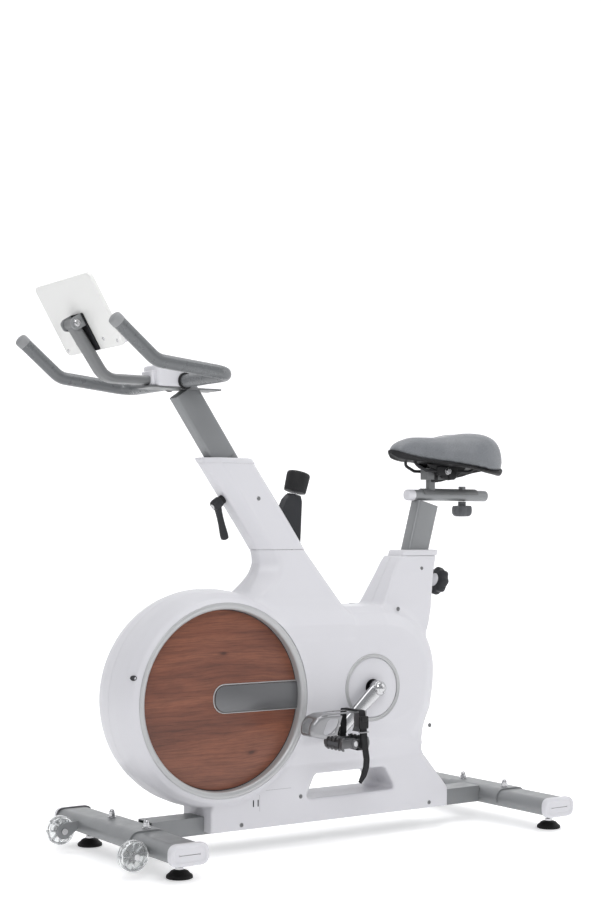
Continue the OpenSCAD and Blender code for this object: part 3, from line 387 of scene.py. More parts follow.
# ------------------------------------------------------------------ white housing
DECK = fillet([(380, 500), (388, 118), (410, 100), (410, 48), (-237, 48), (-237, 94), (-146, 201), (-172, 245), (-190, 284), (-199, 335), (-199, 372), (-47, 372), (-47, 527), (300, 527)],
              [0, 10, 8, 2, 2, 14, 30, 0, 0, 0, 0, 0, 0, 0], 5)
REARL = fillet([(900, 1200), (-199, 1200), (-199, 335), (-190, 284), (-172, 245), (-146, 201), (-115, 140), (-115, -300), (900, -300)], [0]*9, 1)
DECK_YZ = fillet([(-300, 20), (60, 20), (60, 178), (84.5, 226), (84.5, 481), (70, 511), (52, 529), (-300, 529)], [0, 0, 16, 12, 5, 5, 4, 0], 4)
NECK = fillet([(267, 662), (262, 624), (271, 600), (303, 560), (352, 515), (340, 460), (50, 460), (48, 500), (68, 530), (160, 662)], [0, 18, 30, 60, 0, 0, 0, 0, 30, 0], 6)
NECK_YZ = fillet([(-300, 430), (84.3, 430), (84.3, 481), (70, 511), (60, 548), (37, 662), (-300, 662)], [0, 0, 6, 20, 60, 0, 0], 5)
SEATW = fillet([(-119, 640.2), (-106, 622), (-58, 530), (-50, 480), (-165, 440), (-195, 515), (-226, 640.2)], [3, 30, 20, 0, 0, 40, 3], 5)
SEAT_YZ = fillet([(-300, 430), (64, 430), (62, 480), (50, 527), (36, 600), (33, 640.2), (-300, 640.2)], [0, 0, 20, 30, 60, 4, 0], 5)
WIN = fillet([(140, 156), (-53, 156), (-86, 102), (167, 102)], [14, 16, 12, 10], 5)
DRUM = fillet([(-300, 85), (209, 85), (219, 76), (229, 55), (234.6, 30), (236, 0), (236, -300), (-300, -300)], [0, 4, 14, 30, 40, 0, 0, 0], 4)
REAR = fillet([(-300, 84.8), (108, 84.8), (137, 70), (154, 52), (154.6, 0), (154.6, -300), (-300, -300)], [0, 7, 14, 16, 0, 0, 0], 4)
def housing(x, y, z):
    y = np.abs(y)
    r1 = np.hypot(x - DX, z - DZ); r2 = np.hypot(x + 47, z - 372)
    drum = poly2(DRUM, r1, y); rear = poly2(REAR, r2, y)
    deck = smax(poly2(DECK, x, z), poly2(DECK_YZ, y, z), 4)
    dd = -poly2(REARL, x, z); w = np.clip((z - 175)/80, 0, 1)*np.clip((60 - x)/40, 0, 1); w = w*w*(3 - 2*w)
    deck = smax(deck, (y - 84.5 + w*np.interp(dd, [0, 17, 46, 60], [33, 15, 0, 0]))*0.8, 3)
    u = (x - 350)*C34 - (z - 858)*S34
    g = 88*(np.maximum(0, 655 - z)/107)**1.9
    neck = smax(smax(poly2(NECK, x, z), poly2(NECK_YZ, y, z), 5), 0.658*(u - 46) + 0.752*(y - 17) - g, 5)
    seat = smax(poly2(SEATW, x, z), poly2(SEAT_YZ, y, z), 7)
    f = smin(rear, deck, 2)
    f = smin(f, drum, 9)
    f = smin(f, neck, 11)
    f = smin(f, seat, 9)
    f = smax(f, y - 84.95, 1.5)
    return smax(f, -poly2(WIN, x, z), 5)
H = 3.6
hv, hq = nets(housing, (-246, -2*H, 40), (634, 92, 664), H)
def circ(cx, cz, r, yside):
    def snap(v, mask):
        v = v.copy(); d = v[mask][:, [0, 2]] - (cx, cz); l = np.linalg.norm(d, axis=1)
        v[mask, 0] = cx + d[:, 0]/l*r; v[mask, 2] = cz + d[:, 1]/l*r; v[mask, 1] = yside; return v
    return snap
fc = hv[hq].mean(1)
out = (fc[:, 1] > 80) & (np.hypot(fc[:, 0] - DX, fc[:, 2] - DZ) < 209.3)
hv, hq = drop(hv, hq, out, circ(DX, DZ, 209.3, 84.93))
fc = hv[hq].mean(1)
out = (fc[:, 1] > 80) & (np.hypot(fc[:, 0], fc[:, 2] - CZ) < 76.4)
hv, hq = drop(hv, hq, out, circ(0, CZ, 76.4, 84.93))
def shell_obj(name, v, q, cuts, mat, body, nodes, flip=False, rim=2.6, angle=50):
    """cuts: (point, normal) in millimetres; what is on the normal's side goes"""
    me = bpy.data.meshes.new(name)
    v = np.array(v, float)
    me.from_pydata(v.tolist(), [], q.tolist()); me.update()
    bm = bmesh.new(); bm.from_mesh(me)
    for co, no in cuts:
        bmesh.ops.bisect_plane(bm, geom=bm.verts[:] + bm.edges[:] + bm.faces[:], dist=0.01, plane_co=co, plane_no=no, clear_outer=True)
    bm.normal_update()
    if rim:   # wall seen at open edges
        bd = [e for e in bm.edges if e.is_boundary]
        nrm = {vv: vv.normal.copy() for e in bd for vv in e.verts}
        r = bmesh.ops.extrude_edge_only(bm, edges=bd)
        new = [g for g in r["geom"] if isinstance(g, bmesh.types.BMVert)]
        src = {}
        for e in bm.edges:
            a, b2 = e.verts
            if a in nrm and b2 not in nrm: src[b2] = a
            elif b2 in nrm and a not in nrm: src[a] = b2
        for vv in new:
            if vv in src: vv.co = src[vv].co - nrm[src[vv]]*rim
    if flip:
        for vv in bm.verts: vv.co.y = -vv.co.y
        bmesh.ops.reverse_faces(bm, faces=bm.faces)
    for vv in bm.verts: vv.co = Vector(V(*vv.co))
    bm.to_mesh(me); bm.free()
    o = bpy.data.objects.new(name, me); bpy.context.collection.objects.link(o); me.materials.append(mat)
    for p in me.polygons: p.use_smooth = True
    me.set_sharp_from_angle(angle=math.radians(angle))
    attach(o, body)
    if nodes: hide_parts(*nodes)
    return o
CUT = [((0, 0.35, 0), (0, -1, 0)), ((0, 0, 654.1), (0, 0, 1)), ((0, 0, 50), (0, 0, -1))]
shell_obj("housing_left", hv, hq, CUT, WHITE, "frame", ["left_shell"])
shell_obj("housing_right", hv, hq, CUT, WHITE, "frame", ["right_shell"], flip=True)
SEC = fillet([(-46, -200), (-50, -200), (-50, 30), (-44, 38), (22, 38), (46, 17), (46, -200)], [0, 0, 5, 7, 9, 7, 0], 5)
def neckf(x, y, z):
    y = np.abs(y); u = (x - 350)*C34 - (z - 858)*S34
    t = np.clip((z - 655)/188, 0, 1)
    return poly2(SEC, u - 4*np.maximum(0, t - 0.3), y)
nv, nq = nets(lambda x, y, z: smax(neckf(x, y, z), np.abs(z - 750) - 118, 1), (120, -2*H, 640), (470, 50, 880), 3.0)
NCUT = [((0, 0.25, 0), (0, -1, 0)), ((0, 0, 654.9), (0, 0, -1)), ((0, 0, 842.7), (0, 0, 1))]
shell_obj("neck_cover_left", nv, nq, NCUT, WHITE, "frame", ["neck_cover"])
shell_obj("neck_cover_right", nv, nq, NCUT, WHITE, "frame", [], flip=True)
def rrect(w, h, r, n=6): return fillet([(w/2, h/2), (-w/2, h/2), (-w/2, -h/2), (w/2, -h/2)], [r]*4, n)
def rr_at(w, h, r):
    def f(t):
        c, s = math.cos(t), math.sin(t); lo, hi = 0.0, 100.0
        for _ in range(30):
            m = (lo + hi)/2; x, y = abs(m*c), abs(m*s); dx, dy = max(x - w/2 + r, 0), max(y - h/2 + r, 0)
            if dx*dx + dy*dy <= r*r: lo = m
            else: hi = m
        return (lo*c, lo*s)
    return f
def collar(name, sec, put_c, z0, z1, post, nodes):
    """rim round a post: outline outside, post outline inside, slightly domed top"""
    m = len(sec); prof = [(0.0, 0.0), (0.0, 0.75), (0.06, 0.93), (0.2, 1.0), (0.78, 1.0), (0.9, 0.93), (0.96, 0.5)]
    vs, fs = [], []
    ins = [post(math.atan2(b, a)) for a, b in sec]
    for t, h in prof:
        for (a, b), (c, d) in zip(sec, ins):
            w = max(0.0, min(1.0, t)); vs.append(put_c(a*(1 - w) + c*w, b*(1 - w) + d*w, z0 + (z1 - z0)*h))
    for i in range(len(prof) - 1):
        for j in range(m):
            k = (j + 1) % m; fs.append((i*m + j, i*m + k, (i + 1)*m + k, (i + 1)*m + j))
    return fix(make(name, vs, fs, WHITE, "frame", nodes, angle=60))
def dense(P, step=3.0):
    out = []
    for i in range(len(P)):
        a, b = np.array(P[i - 1], float), np.array(P[i], float); k = max(1, int(np.linalg.norm(b - a)/step))
        for t in range(k): out.append(tuple(a + (b - a)*(t/k)))
    return out
def stadium(w, t, g):
    def f(ang):
        # ray from the middle to an oval w by t, grown by g
        hw, r = (w - t)/2, t/2 + g; c, s = math.cos(ang), math.sin(ang)
        if abs(s) > 1e-6:
            k = r/abs(s)
            if abs(k*c) <= hw: return (k*c, k*s)
        b = abs(c)*hw; k = b + math.sqrt(max(0, b*b - (hw*hw - r*r)))
        return (k*c, k*s)
    return f
def horiz_stem(u, v, z):      # (u, v) across the stem, at a level z
    s = (z - 858 + u*S34)/C34; return on_stem(u, v, s)
def horiz_seat(u, v, z):
    s = (z - 766 - u*S15)/C15; return on_seat(u, v, s)
full = fillet([(-48.5, 30), (-43, 38), (24, 38), (49.5, 17), (49.5, -17), (24, -38), (-43, -38), (-48.5, -30)], [5, 6, 9, 7, 7, 9, 6, 5], 4)
collar("stem_collar", dense(full), horiz_stem, 843.0, 854.5, rr_at(61.6, 35.6, 8.2), ["sleeve_collars"])
sq = fillet([(-54, 33.5), (54, 33.5), (54, -33.5), (-54, -33.5)], [13, 13, 13, 13], 6)
collar("saddle_collar", dense(sq), lambda a, b, z: horiz_seat(a*0.955 + 3.0, b*0.955, z), 638.6, 652.0, rr_at(61.6, 35.6, 8.2), [])
# lines of the small access panel, and slots beside it drawn as flat strips of painted shade
def strip(name, p, q, w, y, d, mat):
    p, q = np.array(p, float), np.array(q, float); t = (q - p)/np.linalg.norm(q - p); n = np.array([-t[1], t[0]])*w/2
    pts = fillet([tuple(p + n - t*0), tuple(q + n), tuple(q - n), tuple(p - n)], w*0.3, 2)
    parts = []
    for s in (1, -1):
        parts.append(prism(pts, y - 0.6, y + d, lambda a, b, h, s=s: (a, s*h, b), 0.05, 1))
    return fix(make(name, *join(parts), mat, "frame"))
strip("panel_line_top", (205, 130.3), (287, 130.3), 0.7, 60.0, 0.10, LEDGE)
strip("panel_line_side", (287.6, 130.3), (287.6, 86), 0.7, 60.0, 0.10, LEDGE)
for i, x in enumerate((303.5, 291.5)): strip("vent_slot_painted_shade_%d" % i, (x, 112), (x, 97), 3.0, 60.0, 0.12, PAINTED_GAP_SHADE)

# ------------------------------------------------------------------ drum face
RING = [(193.9, 64), (193.9, 78.5), (194.6, 81.5), (196.6, 83.8), (199.6, 85.4), (203.2, 86.0), (206.0, 85.8), (207.9, 84.9), (208.7, 83.2), (208.7, 66)]
for s, nm in ((1, "left"), (-1, "right")):
    f = (lambda vf: vf) if s > 0 else mirror_y
    v, q = f(lathe(RING, 200, at=(DX, 0, DZ))); fix(make(nm + "_ring", v, q, SILVER, "frame", [nm + "_drum_ring"], angle=50))
    v, q = f(lathe([(0.01, 65.3), (60, 65.3), (120, 65.3), (190.6, 65.3), (192.0, 64.9), (192.6, 63.8), (192.6, 62)], 160, at=(DX, 0, DZ)))
    fix(make(nm + "_disc", v, q, WOOD, "frame", [nm + "_wood_disc"], angle=50))
    # painted shade: dark ring at the bottom of the gap between the wood disc and the ring
    v, q = f(lathe([(193.95, 62.3), (193.95, 64.5), (192.4, 64.5), (192.4, 62.3)], 160, at=(DX, 0, DZ)))
    fix(make(nm + "_disc_gap_painted_shade", v, q, PAINTED_GAP_SHADE, "frame"))
def tongue_outline(g):
    """from the ring at the rear to the rounded end at the front, grown by g"""
    z0, z1 = DZ + 2 - 28.5 - g, DZ + 2 + 28.5 + g
    r = 25 + g; pts = []
    R = 193.4
    for z in np.linspace(z1, z0, 9): pts.append((DX - math.sqrt(max(1, R*R - (z - DZ)**2)), z))
    for k in range(9):
        t = -math.pi/2 + math.pi/2*k/8; pts.append((380 + r*math.cos(t), z0 + r + r*math.sin(t)))
    for k in range(9):
        t = math.pi/2*k/8; pts.append((380 + r*math.cos(t), z1 - r + r*math.sin(t)))
    return pts
parts, lips = [], []
for s in (1, -1):
    put = lambda a, b, h, s=s: (a, s*h, b)
    parts.append(prism(tongue_outline(0), 65.6, 70.0, put, 1.6, 3))
    a, b = tongue_outline(3.4), tongue_outline(0.4); m = len(a)
    prof = [(0, 65.3), (0.12, 66.6), (0.35, 67.3), (0.6, 67.3), (0.85, 66.6), (1, 65.3)]
    vs, fs = [], []
    for t, h in prof:
        for p, q in zip(a, b): vs.append(put(p[0]*(1 - t) + q[0]*t, p[1]*(1 - t) + q[1]*t, h))
    for i in range(len(prof) - 1):
        for j in range(m):
            k = (j + 1) % m; fs.append((i*m + j, i*m + k, (i + 1)*m + k, (i + 1)*m + j))
    lips.append((vs, fs))
fix(make("tongues", *join(parts), TONGUE, "frame", ["drum_tongues"], angle=50))
fix(make("tongue_lips", *join(lips), SILVER, "frame", angle=60))

# ------------------------------------------------------------------ crank covers and screws
parts, beads, holes = [], [], []
for s in (1, -1):
    f = (lambda vf: vf) if s > 0 else mirror_y
    parts.append(f(lathe([(19, 80.6), (19, 83.4), (20.5, 84.2), (40, 84.4), (65.5, 84.4), (67.2, 83.6), (67.8, 82.5)], 120, at=(0, 0, CZ))))
    beads.append(f(lathe([(67.6, 81), (67.8, 84.6), (68.8, 86.2), (70.2, 86.8), (71.4, 86.2), (72.2, 85.5), (73.0, 86.0), (74.4, 86.6), (75.6, 85.9), (76.1, 84.6), (76.2, 81)], 140, at=(0, 0, CZ))))
    holes.append(f(lathe([(19.2, 84), (17.8, 82), (17.6, 70), (11.5, 70), (11.5, 78)], 60, at=(0, 0, CZ))))
fix(make("crank_cover_plates", *join(parts), WHITE, "frame", ["crank_rings"], angle=50))
fix(make("crank_cover_beads", *join(beads), SILVER, "frame", angle=50))
# bore walls round the crank axle painted dark as shade
fix(make("crank_bore_painted_shade", *join(holes), PAINTED_GAP_SHADE, "frame", angle=50))
def screw(at, r, normal_y=1, deep=False, axis="y"):
    """recessed pan head"""
    n = 36
    def rad(t, q, h): return q
    v, q = lathe([(r*1.35, -0.4), (r*1.35, 0.15), (r*1.22, 0.35), (r*1.08, 0.1), (r*1.02, -0.3), (r*0.98, 0.5), (r*0.8, 1.1), (r*0.42, 1.35), (r*0.30, 0.3), (0.01, 0.3)], n, at=at)
    return v, q
sc = []
for p in ((276, 767, 38.0), (180, 109, 60.0), (334, 61, 60.0), (-182, 62, 60.0), (-179, 608, 35.2), (-86, 517, 66.0), (-170, 245, 77.0)):
    v, q = screw((p[0], p[1], p[2]) if False else (p[0], p[2], p[1]), 3.6); sc.append((v, q)); sc.append(mirror_y((v, q)))
fix(make("cover_screws", *join(sc), DKGREY, "frame", ["shell_screws"], angle=50))

# ------------------------------------------------------------------ finishes of the CAD pieces that stay
for n, m in {"main_beam": GREY, "frame_posts": DKGREY, "front_stabilizer": GREY, "rear_stabilizer": GREY, "front_bracket": GREY, "rear_bracket": GREY,
             "wheel_brackets": GREY, "bearings": STEEL, "flywheel_axle": STEEL, "flywheel": CAST, "drive_belt": RUBBER, "crank_axle": CHROME, "drive_pulley": CHARC,
             "left_crank": CHROME, "right_crank": CHROME, "pedal_spindles": STEEL, "left_pedal_body": PEDAL, "right_pedal_body": PEDAL,
             "left_toe_cage": PLATE, "right_toe_cage": PLATE, "left_pedal_strap": STRAP, "right_pedal_strap": STRAP, "brake_carrier": STEEL, "tension_cable": RUBBER,
             "knob_housing": CHARC, "tension_spindle": STEEL, "resistance_knob": BLACKP, "stem_post": GREY, "head_plate": DKGREY, "console_box": WHITE,
             "handlebar": BARGREY, "tablet_arm": DKGREY, "tablet_tray": WHITE, "tray_bracket": DKGREY, "stem_clamp_lever": CHARC, "seat_post": GREY,
             "seat_knob": BLACKP, "saddle_slider": DKGREY, "slider_knob": MIDCH, "saddle_frame": BLACKP, "saddle_cushion": LEATHER, "base_fasteners": CHROME,
             "stabilizer_end_caps": WHITE, "left_transport_wheel": CLEAR, "right_transport_wheel": CLEAR, "front_left_foot": RUBBER, "front_right_foot": RUBBER,
             "rear_left_foot": RUBBER, "rear_right_foot": RUBBER}.items():
    paint(n, m)

# ------------------------------------------------------------------ handlebar, head and tray
def sweepv(pts, A, B, ref, n=32, power=2.0, dome=0.0):
    pts = [np.array(p, float) for p in pts]; ref = np.array(ref, float); vs, fs = [], []
    T = []
    for i in range(len(pts)):
        t = pts[min(i + 1, len(pts) - 1)] - pts[max(i - 1, 0)]; T.append(t/np.linalg.norm(t))
    st = list(zip(pts, T, A, B))
    if dome > 0:
        for end, sg in ((0, -1), (-1, 1)):
            p, t, a, b = st[end]; add = []
            for k in range(1, 7):
                q = math.pi/2*k/6; add.append((p + t*sg*dome*math.sin(q), t, max(0.05, a*math.cos(q)), max(0.05, b*math.cos(q))))
            st = (add[::-1] + st) if sg < 0 else (st + add)
    for p, t, a, b in st:
        side = np.cross(ref, t); side /= np.linalg.norm(side); up = np.cross(t, side)
        for j in range(n):
            w = 2*math.pi*j/n; c, q = math.cos(w), math.sin(w)
            c = math.copysign(abs(c)**(2/power), c); q = math.copysign(abs(q)**(2/power), q)
            vs.append(tuple(p + side*(a*c) + up*(b*q)))
    for i in range(len(st) - 1):
        for j in range(n):
            k = (j + 1) % n; fs.append((i*n + j, i*n + k, (i + 1)*n + k, (i + 1)*n + j))
    fs.append(tuple(range(n))[::-1]); fs.append(tuple((len(st) - 1)*n + j for j in range(n)))
    return vs, fs
BH = 218.6
half = [(458, 0, 1014), (458, BH, 1014), (629, BH, 1032), (726.5, BH, 1113)]
hp = path(half, [0, 33, 48, 0], 14)
tip = np.array(half[3], float); td = tip - np.array(half[2], float); td /= np.linalg.norm(td)
hp[-1] = tip - td*15
# extra points so that the straight runs shade evenly
def thin(pts, step=12):
    out = [pts[0]]
    for a, b in zip(pts[:-1], pts[1:]):
        k = max(1, int(np.linalg.norm(np.array(b) - a)/step))
        for t in range(1, k + 1): out.append(np.array(a) + (np.array(b) - a)*t/k)
    return out
hp = thin(hp); full_bar = [np.array((p[0], -p[1], p[2])) for p in hp[:0:-1]] + hp
fix(make("handlebar_tube", *sweepv(full_bar, [13.95]*len(full_bar), [13.95]*len(full_bar), (0, 0.001, 1), 40), BARGREY, "stem", ["handlebar"], angle=60))
caps = []
for s in (1, -1):
    q = [np.array((p[0], s*p[1], p[2])) for p in (tip - td*20, tip - td*19.2, tip - td*12, tip - td*6.5)]
    caps.append(sweepv(q, [14.0, 14.5, 14.5, 14.2], [14.0, 14.5, 14.5, 14.2], (0, 0.001, 1), 40, dome=6.3))
fix(make("handlebar_end_caps", *join(caps), BARTIP, "stem", angle=60))
rr = []
for s in (1, -1):
    f = (lambda vf: vf) if s > 0 else mirror_y
    rr.append(f(lathe([(14.0, 34.0), (17.2, 34.0), (18.0, 34.8), (18.0, 37.0), (17.0, 38.2), (14.0, 38.2)], 48, at=(458, 0, 1014))))
fix(make("bar_grommets", *join(rr), BLACKP, "stem", angle=40))
def rrect(w, h, r, n=6): return fillet([(w/2, h/2), (-w/2, h/2), (-w/2, -h/2), (w/2, -h/2)], [r]*4, n)
fix(make("head_box", *prism([(482 + a, b) for a, b in rrect(86, 68, 13, 8)], 1001.8, 1046.6, lambda a, b, h: (a, b, h), 4.5, 5), WHITE, "stem", ["console_box"], angle=60))
fix(make("head_box_front", *prism([(527 + a, b) for a, b in rrect(12, 48, 5, 6)], 1003, 1034, lambda a, b, h: (a, b, h), 3, 4), WHITE, "stem", angle=60))
HX, HZ, TL = 706, 1121, math.radians(30.2)
def on_tray(x, y, z): return (HX + x*math.cos(TL) + z*math.sin(TL), y, HZ - x*math.sin(TL) + z*math.cos(TL))
ap = thin(path([(528, 0, 1014), (632, 0, 1014), (703, 0, 1116.4)], 42, 12), 8)
fix(make("tray_arm", *sweepv(ap, [18.8]*len(ap), [9.9]*len(ap), (0, 0.0001, 1), 48, power=3.0), DKGREY, "stem", ["tablet_arm"], angle=60))
barrel = lathe([(4, -19.4), (9.8, -19.4), (10.9, -18.4), (10.9, 18.4), (9.8, 19.4), (4, 19.4)], 48, at=(HX, 0, HZ))
fix(make("tray_arm_barrel", *barrel, DKGREY, "stem", angle=40))
tp = fillet([(-127, -72), (127, -72), (127, 88), (-127, 88)], [14, 14, 14, 14], 8)
fix(make("tray_panel", *prism(tp, -29, -19.2, lambda a, b, h: on_tray(h, a, b), 2.6, 4), TRAYW, "tray", ["tablet_tray"], angle=60))
lp = fillet([(-110, -72), (110, -72), (110, -66), (-110, -66)], [2.4]*4, 3)
fix(make("tray_ledge", *join([prism(lp, -46.8, -28, lambda a, b, h: on_tray(h, a, b), 1.2, 3), prism(fillet([(-110, -70), (110, -70), (110, -58.4), (-110, -58.4)], [4]*4, 4), -46.9, -43.2, lambda a, b, h: on_tray(h, a, b), 1.2, 3)]), WHITE, "tray", angle=60))
ts = []
for y in (112, -112, 60, -60):
    v, q = lathe([(4.2, 0), (4.2, 0.4), (3.6, 0.9), (1.2, 1.0), (0.9, 0.4), (0.01, 0.4)], 24, axis="z")
    ts.append(([on_tray(-19.3 + p[2], y + p[0], (-60 if abs(y) > 100 else -50) + p[1]) for p in v], q))
fix(make("tray_screws", *join(ts), STEEL, "tray", angle=40))
fix(make("tray_back_plate", *prism(fillet([(-29, -70), (29, -70), (29, 13), (-29, 13)], [5]*4, 4), -18.9, -16.3, lambda a, b, h: on_tray(h, a, b), 0.5, 2), BLACKM, "tray", ["tray_bracket"], angle=40))
ears, bolts = [], []
for s in (1, -1):
    o2 = fillet([(-16.3, -13.4), (5, -13.4), (13.6, -8), (13.6, 8), (5, 13.4), (-16.3, 13.4)], [1, 8, 8, 8, 8, 1], 5)
    ears.append(prism(o2, 20.1, 24.3, lambda a, b, h, s=s: on_tray(a, s*h, b), 1.2, 3))
    v, q = lathe([(8.2, 24.3), (8.2, 25.0), (7.0, 25.3), (7.0, 27.0), (5.8, 28.0), (3.4, 28.0), (3.0, 26.4), (0.01, 26.4)], 36)
    bolts.append(([on_tray(p[0], s*p[1], p[2]) for p in v], q))
fix(make("tray_ears", *join(ears), GREY, "tray", angle=50))
fix(make("tray_bolts", *join(bolts), CHROME, "tray", angle=40))

# ------------------------------------------------------------------ posts, clamps and knobs
def post_mesh(put, s0, s1, w, t, r):
    return prism(rrect(w, t, r, 7), s0, s1, put, 0.8, 2)
fix(make("stem_tube", *post_mesh(on_stem, -220, 168, 60, 34, 7.5), GREY, "stem", ["stem_post"], angle=60))
fix(make("saddle_tube", *post_mesh(on_seat, -290, -4, 60, 34, 7.5), GREY, "saddle_post", ["seat_post"], angle=60))
def along(axis_put, v): return [axis_put(*p) for p in v]
def rail(x0, x1, prof, n=56):
    v, q = lathe(prof, n, axis="z"); return [(x0 + p[2], p[1], 781 + p[0]) for p in v], q
L = 402 - 160
fix(make("saddle_rail", *rail(-402, 0, [(10.4, 4), (10.4, 0.6), (11.6, 0), (12.6, 0.5), (13, 1.6), (13, L - 20)]), GREY, "saddle_post", angle=50))
fix(make("saddle_rail_plug", *rail(-402, 0, [(0.01, 2.4), (8, 2.4), (10.2, 1.6), (10.4, 3)]), BLACKP, "saddle_post", angle=50))
fix(make("saddle_rail_cap", *rail(-402, 0, [(12.9, L - 21), (13.02, L - 20.4), (13.02, L - 4), (12.4, L - 1.2), (10.4, L - 0.1), (0.01, L)]), WHITE, "saddle_post", angle=50))
def lobed(prof, lobes, depth, n=180, phase=0.0, sharp=1.0):
    rmax = max(p[0] for p in prof)
    def rad(t, r, h):
        k = 0.5 - 0.5*math.cos(lobes*(t + phase)); k = k**sharp
        return r - depth*k*min(1, (r/rmax)**3) if r > rmax*0.55 else r
    return lathe(prof, n, rad, axis="z")
def place_axis(vf, put): return [put(*p) for p in vf[0]], vf[1]
# round knob behind the saddle post, on a plain neck
kput = lambda x, y, z: on_seat(-z - 11.0*min(1, max(0, (z - 43)/18)), y*(1 + 0.15*(z > 62)), -172 + x*(1 + 0.15*(z > 62)))
fix(make("post_knob_grip", *place_axis(lobed([(0.01, 63.8), (15, 63.8), (24, 64.2), (27.6, 66.5), (29, 70), (29, 80), (27.4, 84.4), (22, 86.3), (14, 86.6), (11, 85.2), (0.01, 85.0)], 8, 3.6, 240), kput), CHARC, "post_knob", ["seat_knob"], angle=50))
fix(make("post_knob_neck", *place_axis(lathe([(11.9, 43), (11.9, 60), (13.4, 61), (14, 64)], 48, axis="z"), kput), WHITE, "post_knob", angle=50))
# knob under the saddle rail
sput = lambda x, y, z: (-330 + x, y, z)
fix(make("slide_knob_grip", *place_axis(lobed([(0.01, 731.6), (9, 731.0), (17, 731.4), (21.6, 734.0), (24.3, 739), (25, 746), (24.4, 753), (22, 756.6), (14, 757), (9.4, 757.2), (9.4, 767)], 6, 4.4, 200, sharp=1.6), sput), MIDCH, "slide_knob", ["slider_knob"], angle=50))
# ribbed resistance knob
kx, kz, ka = 158, 776, math.radians(15.1)
def rput(x, y, z):   # rotate about Y by -15.1 degrees
    z0 = z; return (kx + x*math.cos(ka) - z0*math.sin(ka), y, kz + x*math.sin(ka) + z0*math.cos(ka))
def ribs(t, r, h): return r - (0.9 if r > 20.5 and 9.5 < h < 45 else 0.0)*(0.5 - 0.5*math.cos(44*t))
fix(make("resistance_grip", *place_axis(lathe([(5.1, 7.6), (22, 7.6), (24.4, 8.2), (24.8, 9.6), (25.2, 11), (26.6, 46), (26.2, 49), (24.4, 52.0), (21.4, 53.4), (10, 53.8), (0.01, 53.8)], 264, ribs, axis="z"), rput), BLACKP, "knob", ["resistance_knob"], angle=50))
fix(make("resistance_base", *place_axis(lathe([(5.2, -6), (13, -6), (15.5, -4), (16.3, -2), (16.3, 0.8), (5.2, 0.8)], 60, axis="z"), rput), CHARC, "frame", angle=50))
# lever with a stud, black spacer and a swept handle
lput = lambda x, y, z: on_stem(z, y, -79 + x)
fix(make("lever_spacer", *place_axis(lathe([(5, 30.8), (5, 47), (9.6, 47), (10.2, 48), (10.2, 54.6), (9.4, 55.6), (5, 55.6)], 48, axis="z"), lput), BLACKP, "clamp_lever", ["stem_clamp_lever"], angle=40))
fix(make("lever_hub", *place_axis(lathe([(5, 55.9), (10.6, 55.9), (11.8, 57), (12.2, 60), (12.2, 72), (11, 76.4), (8.4, 78.2), (6.4, 78.4), (6.1, 77.2), (0.01, 77.2)], 56, axis="z"), lput), CHARC, "clamp_lever", angle=40))
fix(make("lever_screw", *place_axis(lathe([(5.9, 77), (5.9, 79), (5.0, 79.8), (2.6, 79.9), (2.4, 78.6), (0.01, 78.6)], 36, axis="z"), lput), STEEL, "clamp_lever", angle=40))
la = math.radians(160.5)
lv = [np.array(on_stem(66 + t*math.sin(la), 0, -79 + t*math.cos(la))) for t in (2, 10, 20, 32, 46, 60, 70, 77)]
fix(make("lever_handle", *sweepv(lv, [8.4, 7.6, 7.0, 6.8, 7.2, 8.2, 8.8, 8.4], [9.6, 8.6, 7.4, 6.6, 6.6, 7.4, 8.2, 8.0], (0, 1, 0.0001), 36, power=2.5, dome=5), CHARC, "clamp_lever", angle=60))

# ------------------------------------------------------------------ saddle
def curve(tab, x):
    xs = [t[0] for t in tab]; return float(np.interp(-x, [-q for q in xs], [t[1] for t in tab]))
def smoothtab(tab, x, w=6.0):
    return sum(curve(tab, x + d*w)*k for d, k in ((-2, .1), (-1, .22), (0, .36), (1, .22), (2, .1)))
HW = [(-112, 1), (-114, 10), (-118, 17), (-126, 24), (-140, 29.5), (-160, 34), (-185, 38), (-210, 43), (-235, 53), (-258, 68), (-280, 84), (-302, 97), (-325, 104), (-348, 105), (-368, 99), (-384, 86), (-394, 68), (-400, 46), (-403, 20), (-404, 1)]
TOPZ = [(-112, 889), (-116, 897), (-124, 903.5), (-136, 908.5), (-155, 913), (-180, 915.5), (-205, 916), (-232, 916), (-255, 918.5), (-280, 924), (-305, 928), (-330, 929), (-352, 928), (-372, 923), (-388, 914.5), (-398, 903), (-404, 884)]
SEAM = [(-112, 887), (-118, 883.5), (-130, 879), (-150, 873), (-180, 867), (-207, 863), (-250, 857), (-290, 847.5), (-320, 839.5), (-350, 835), (-372, 836), (-390, 843), (-404, 858)]
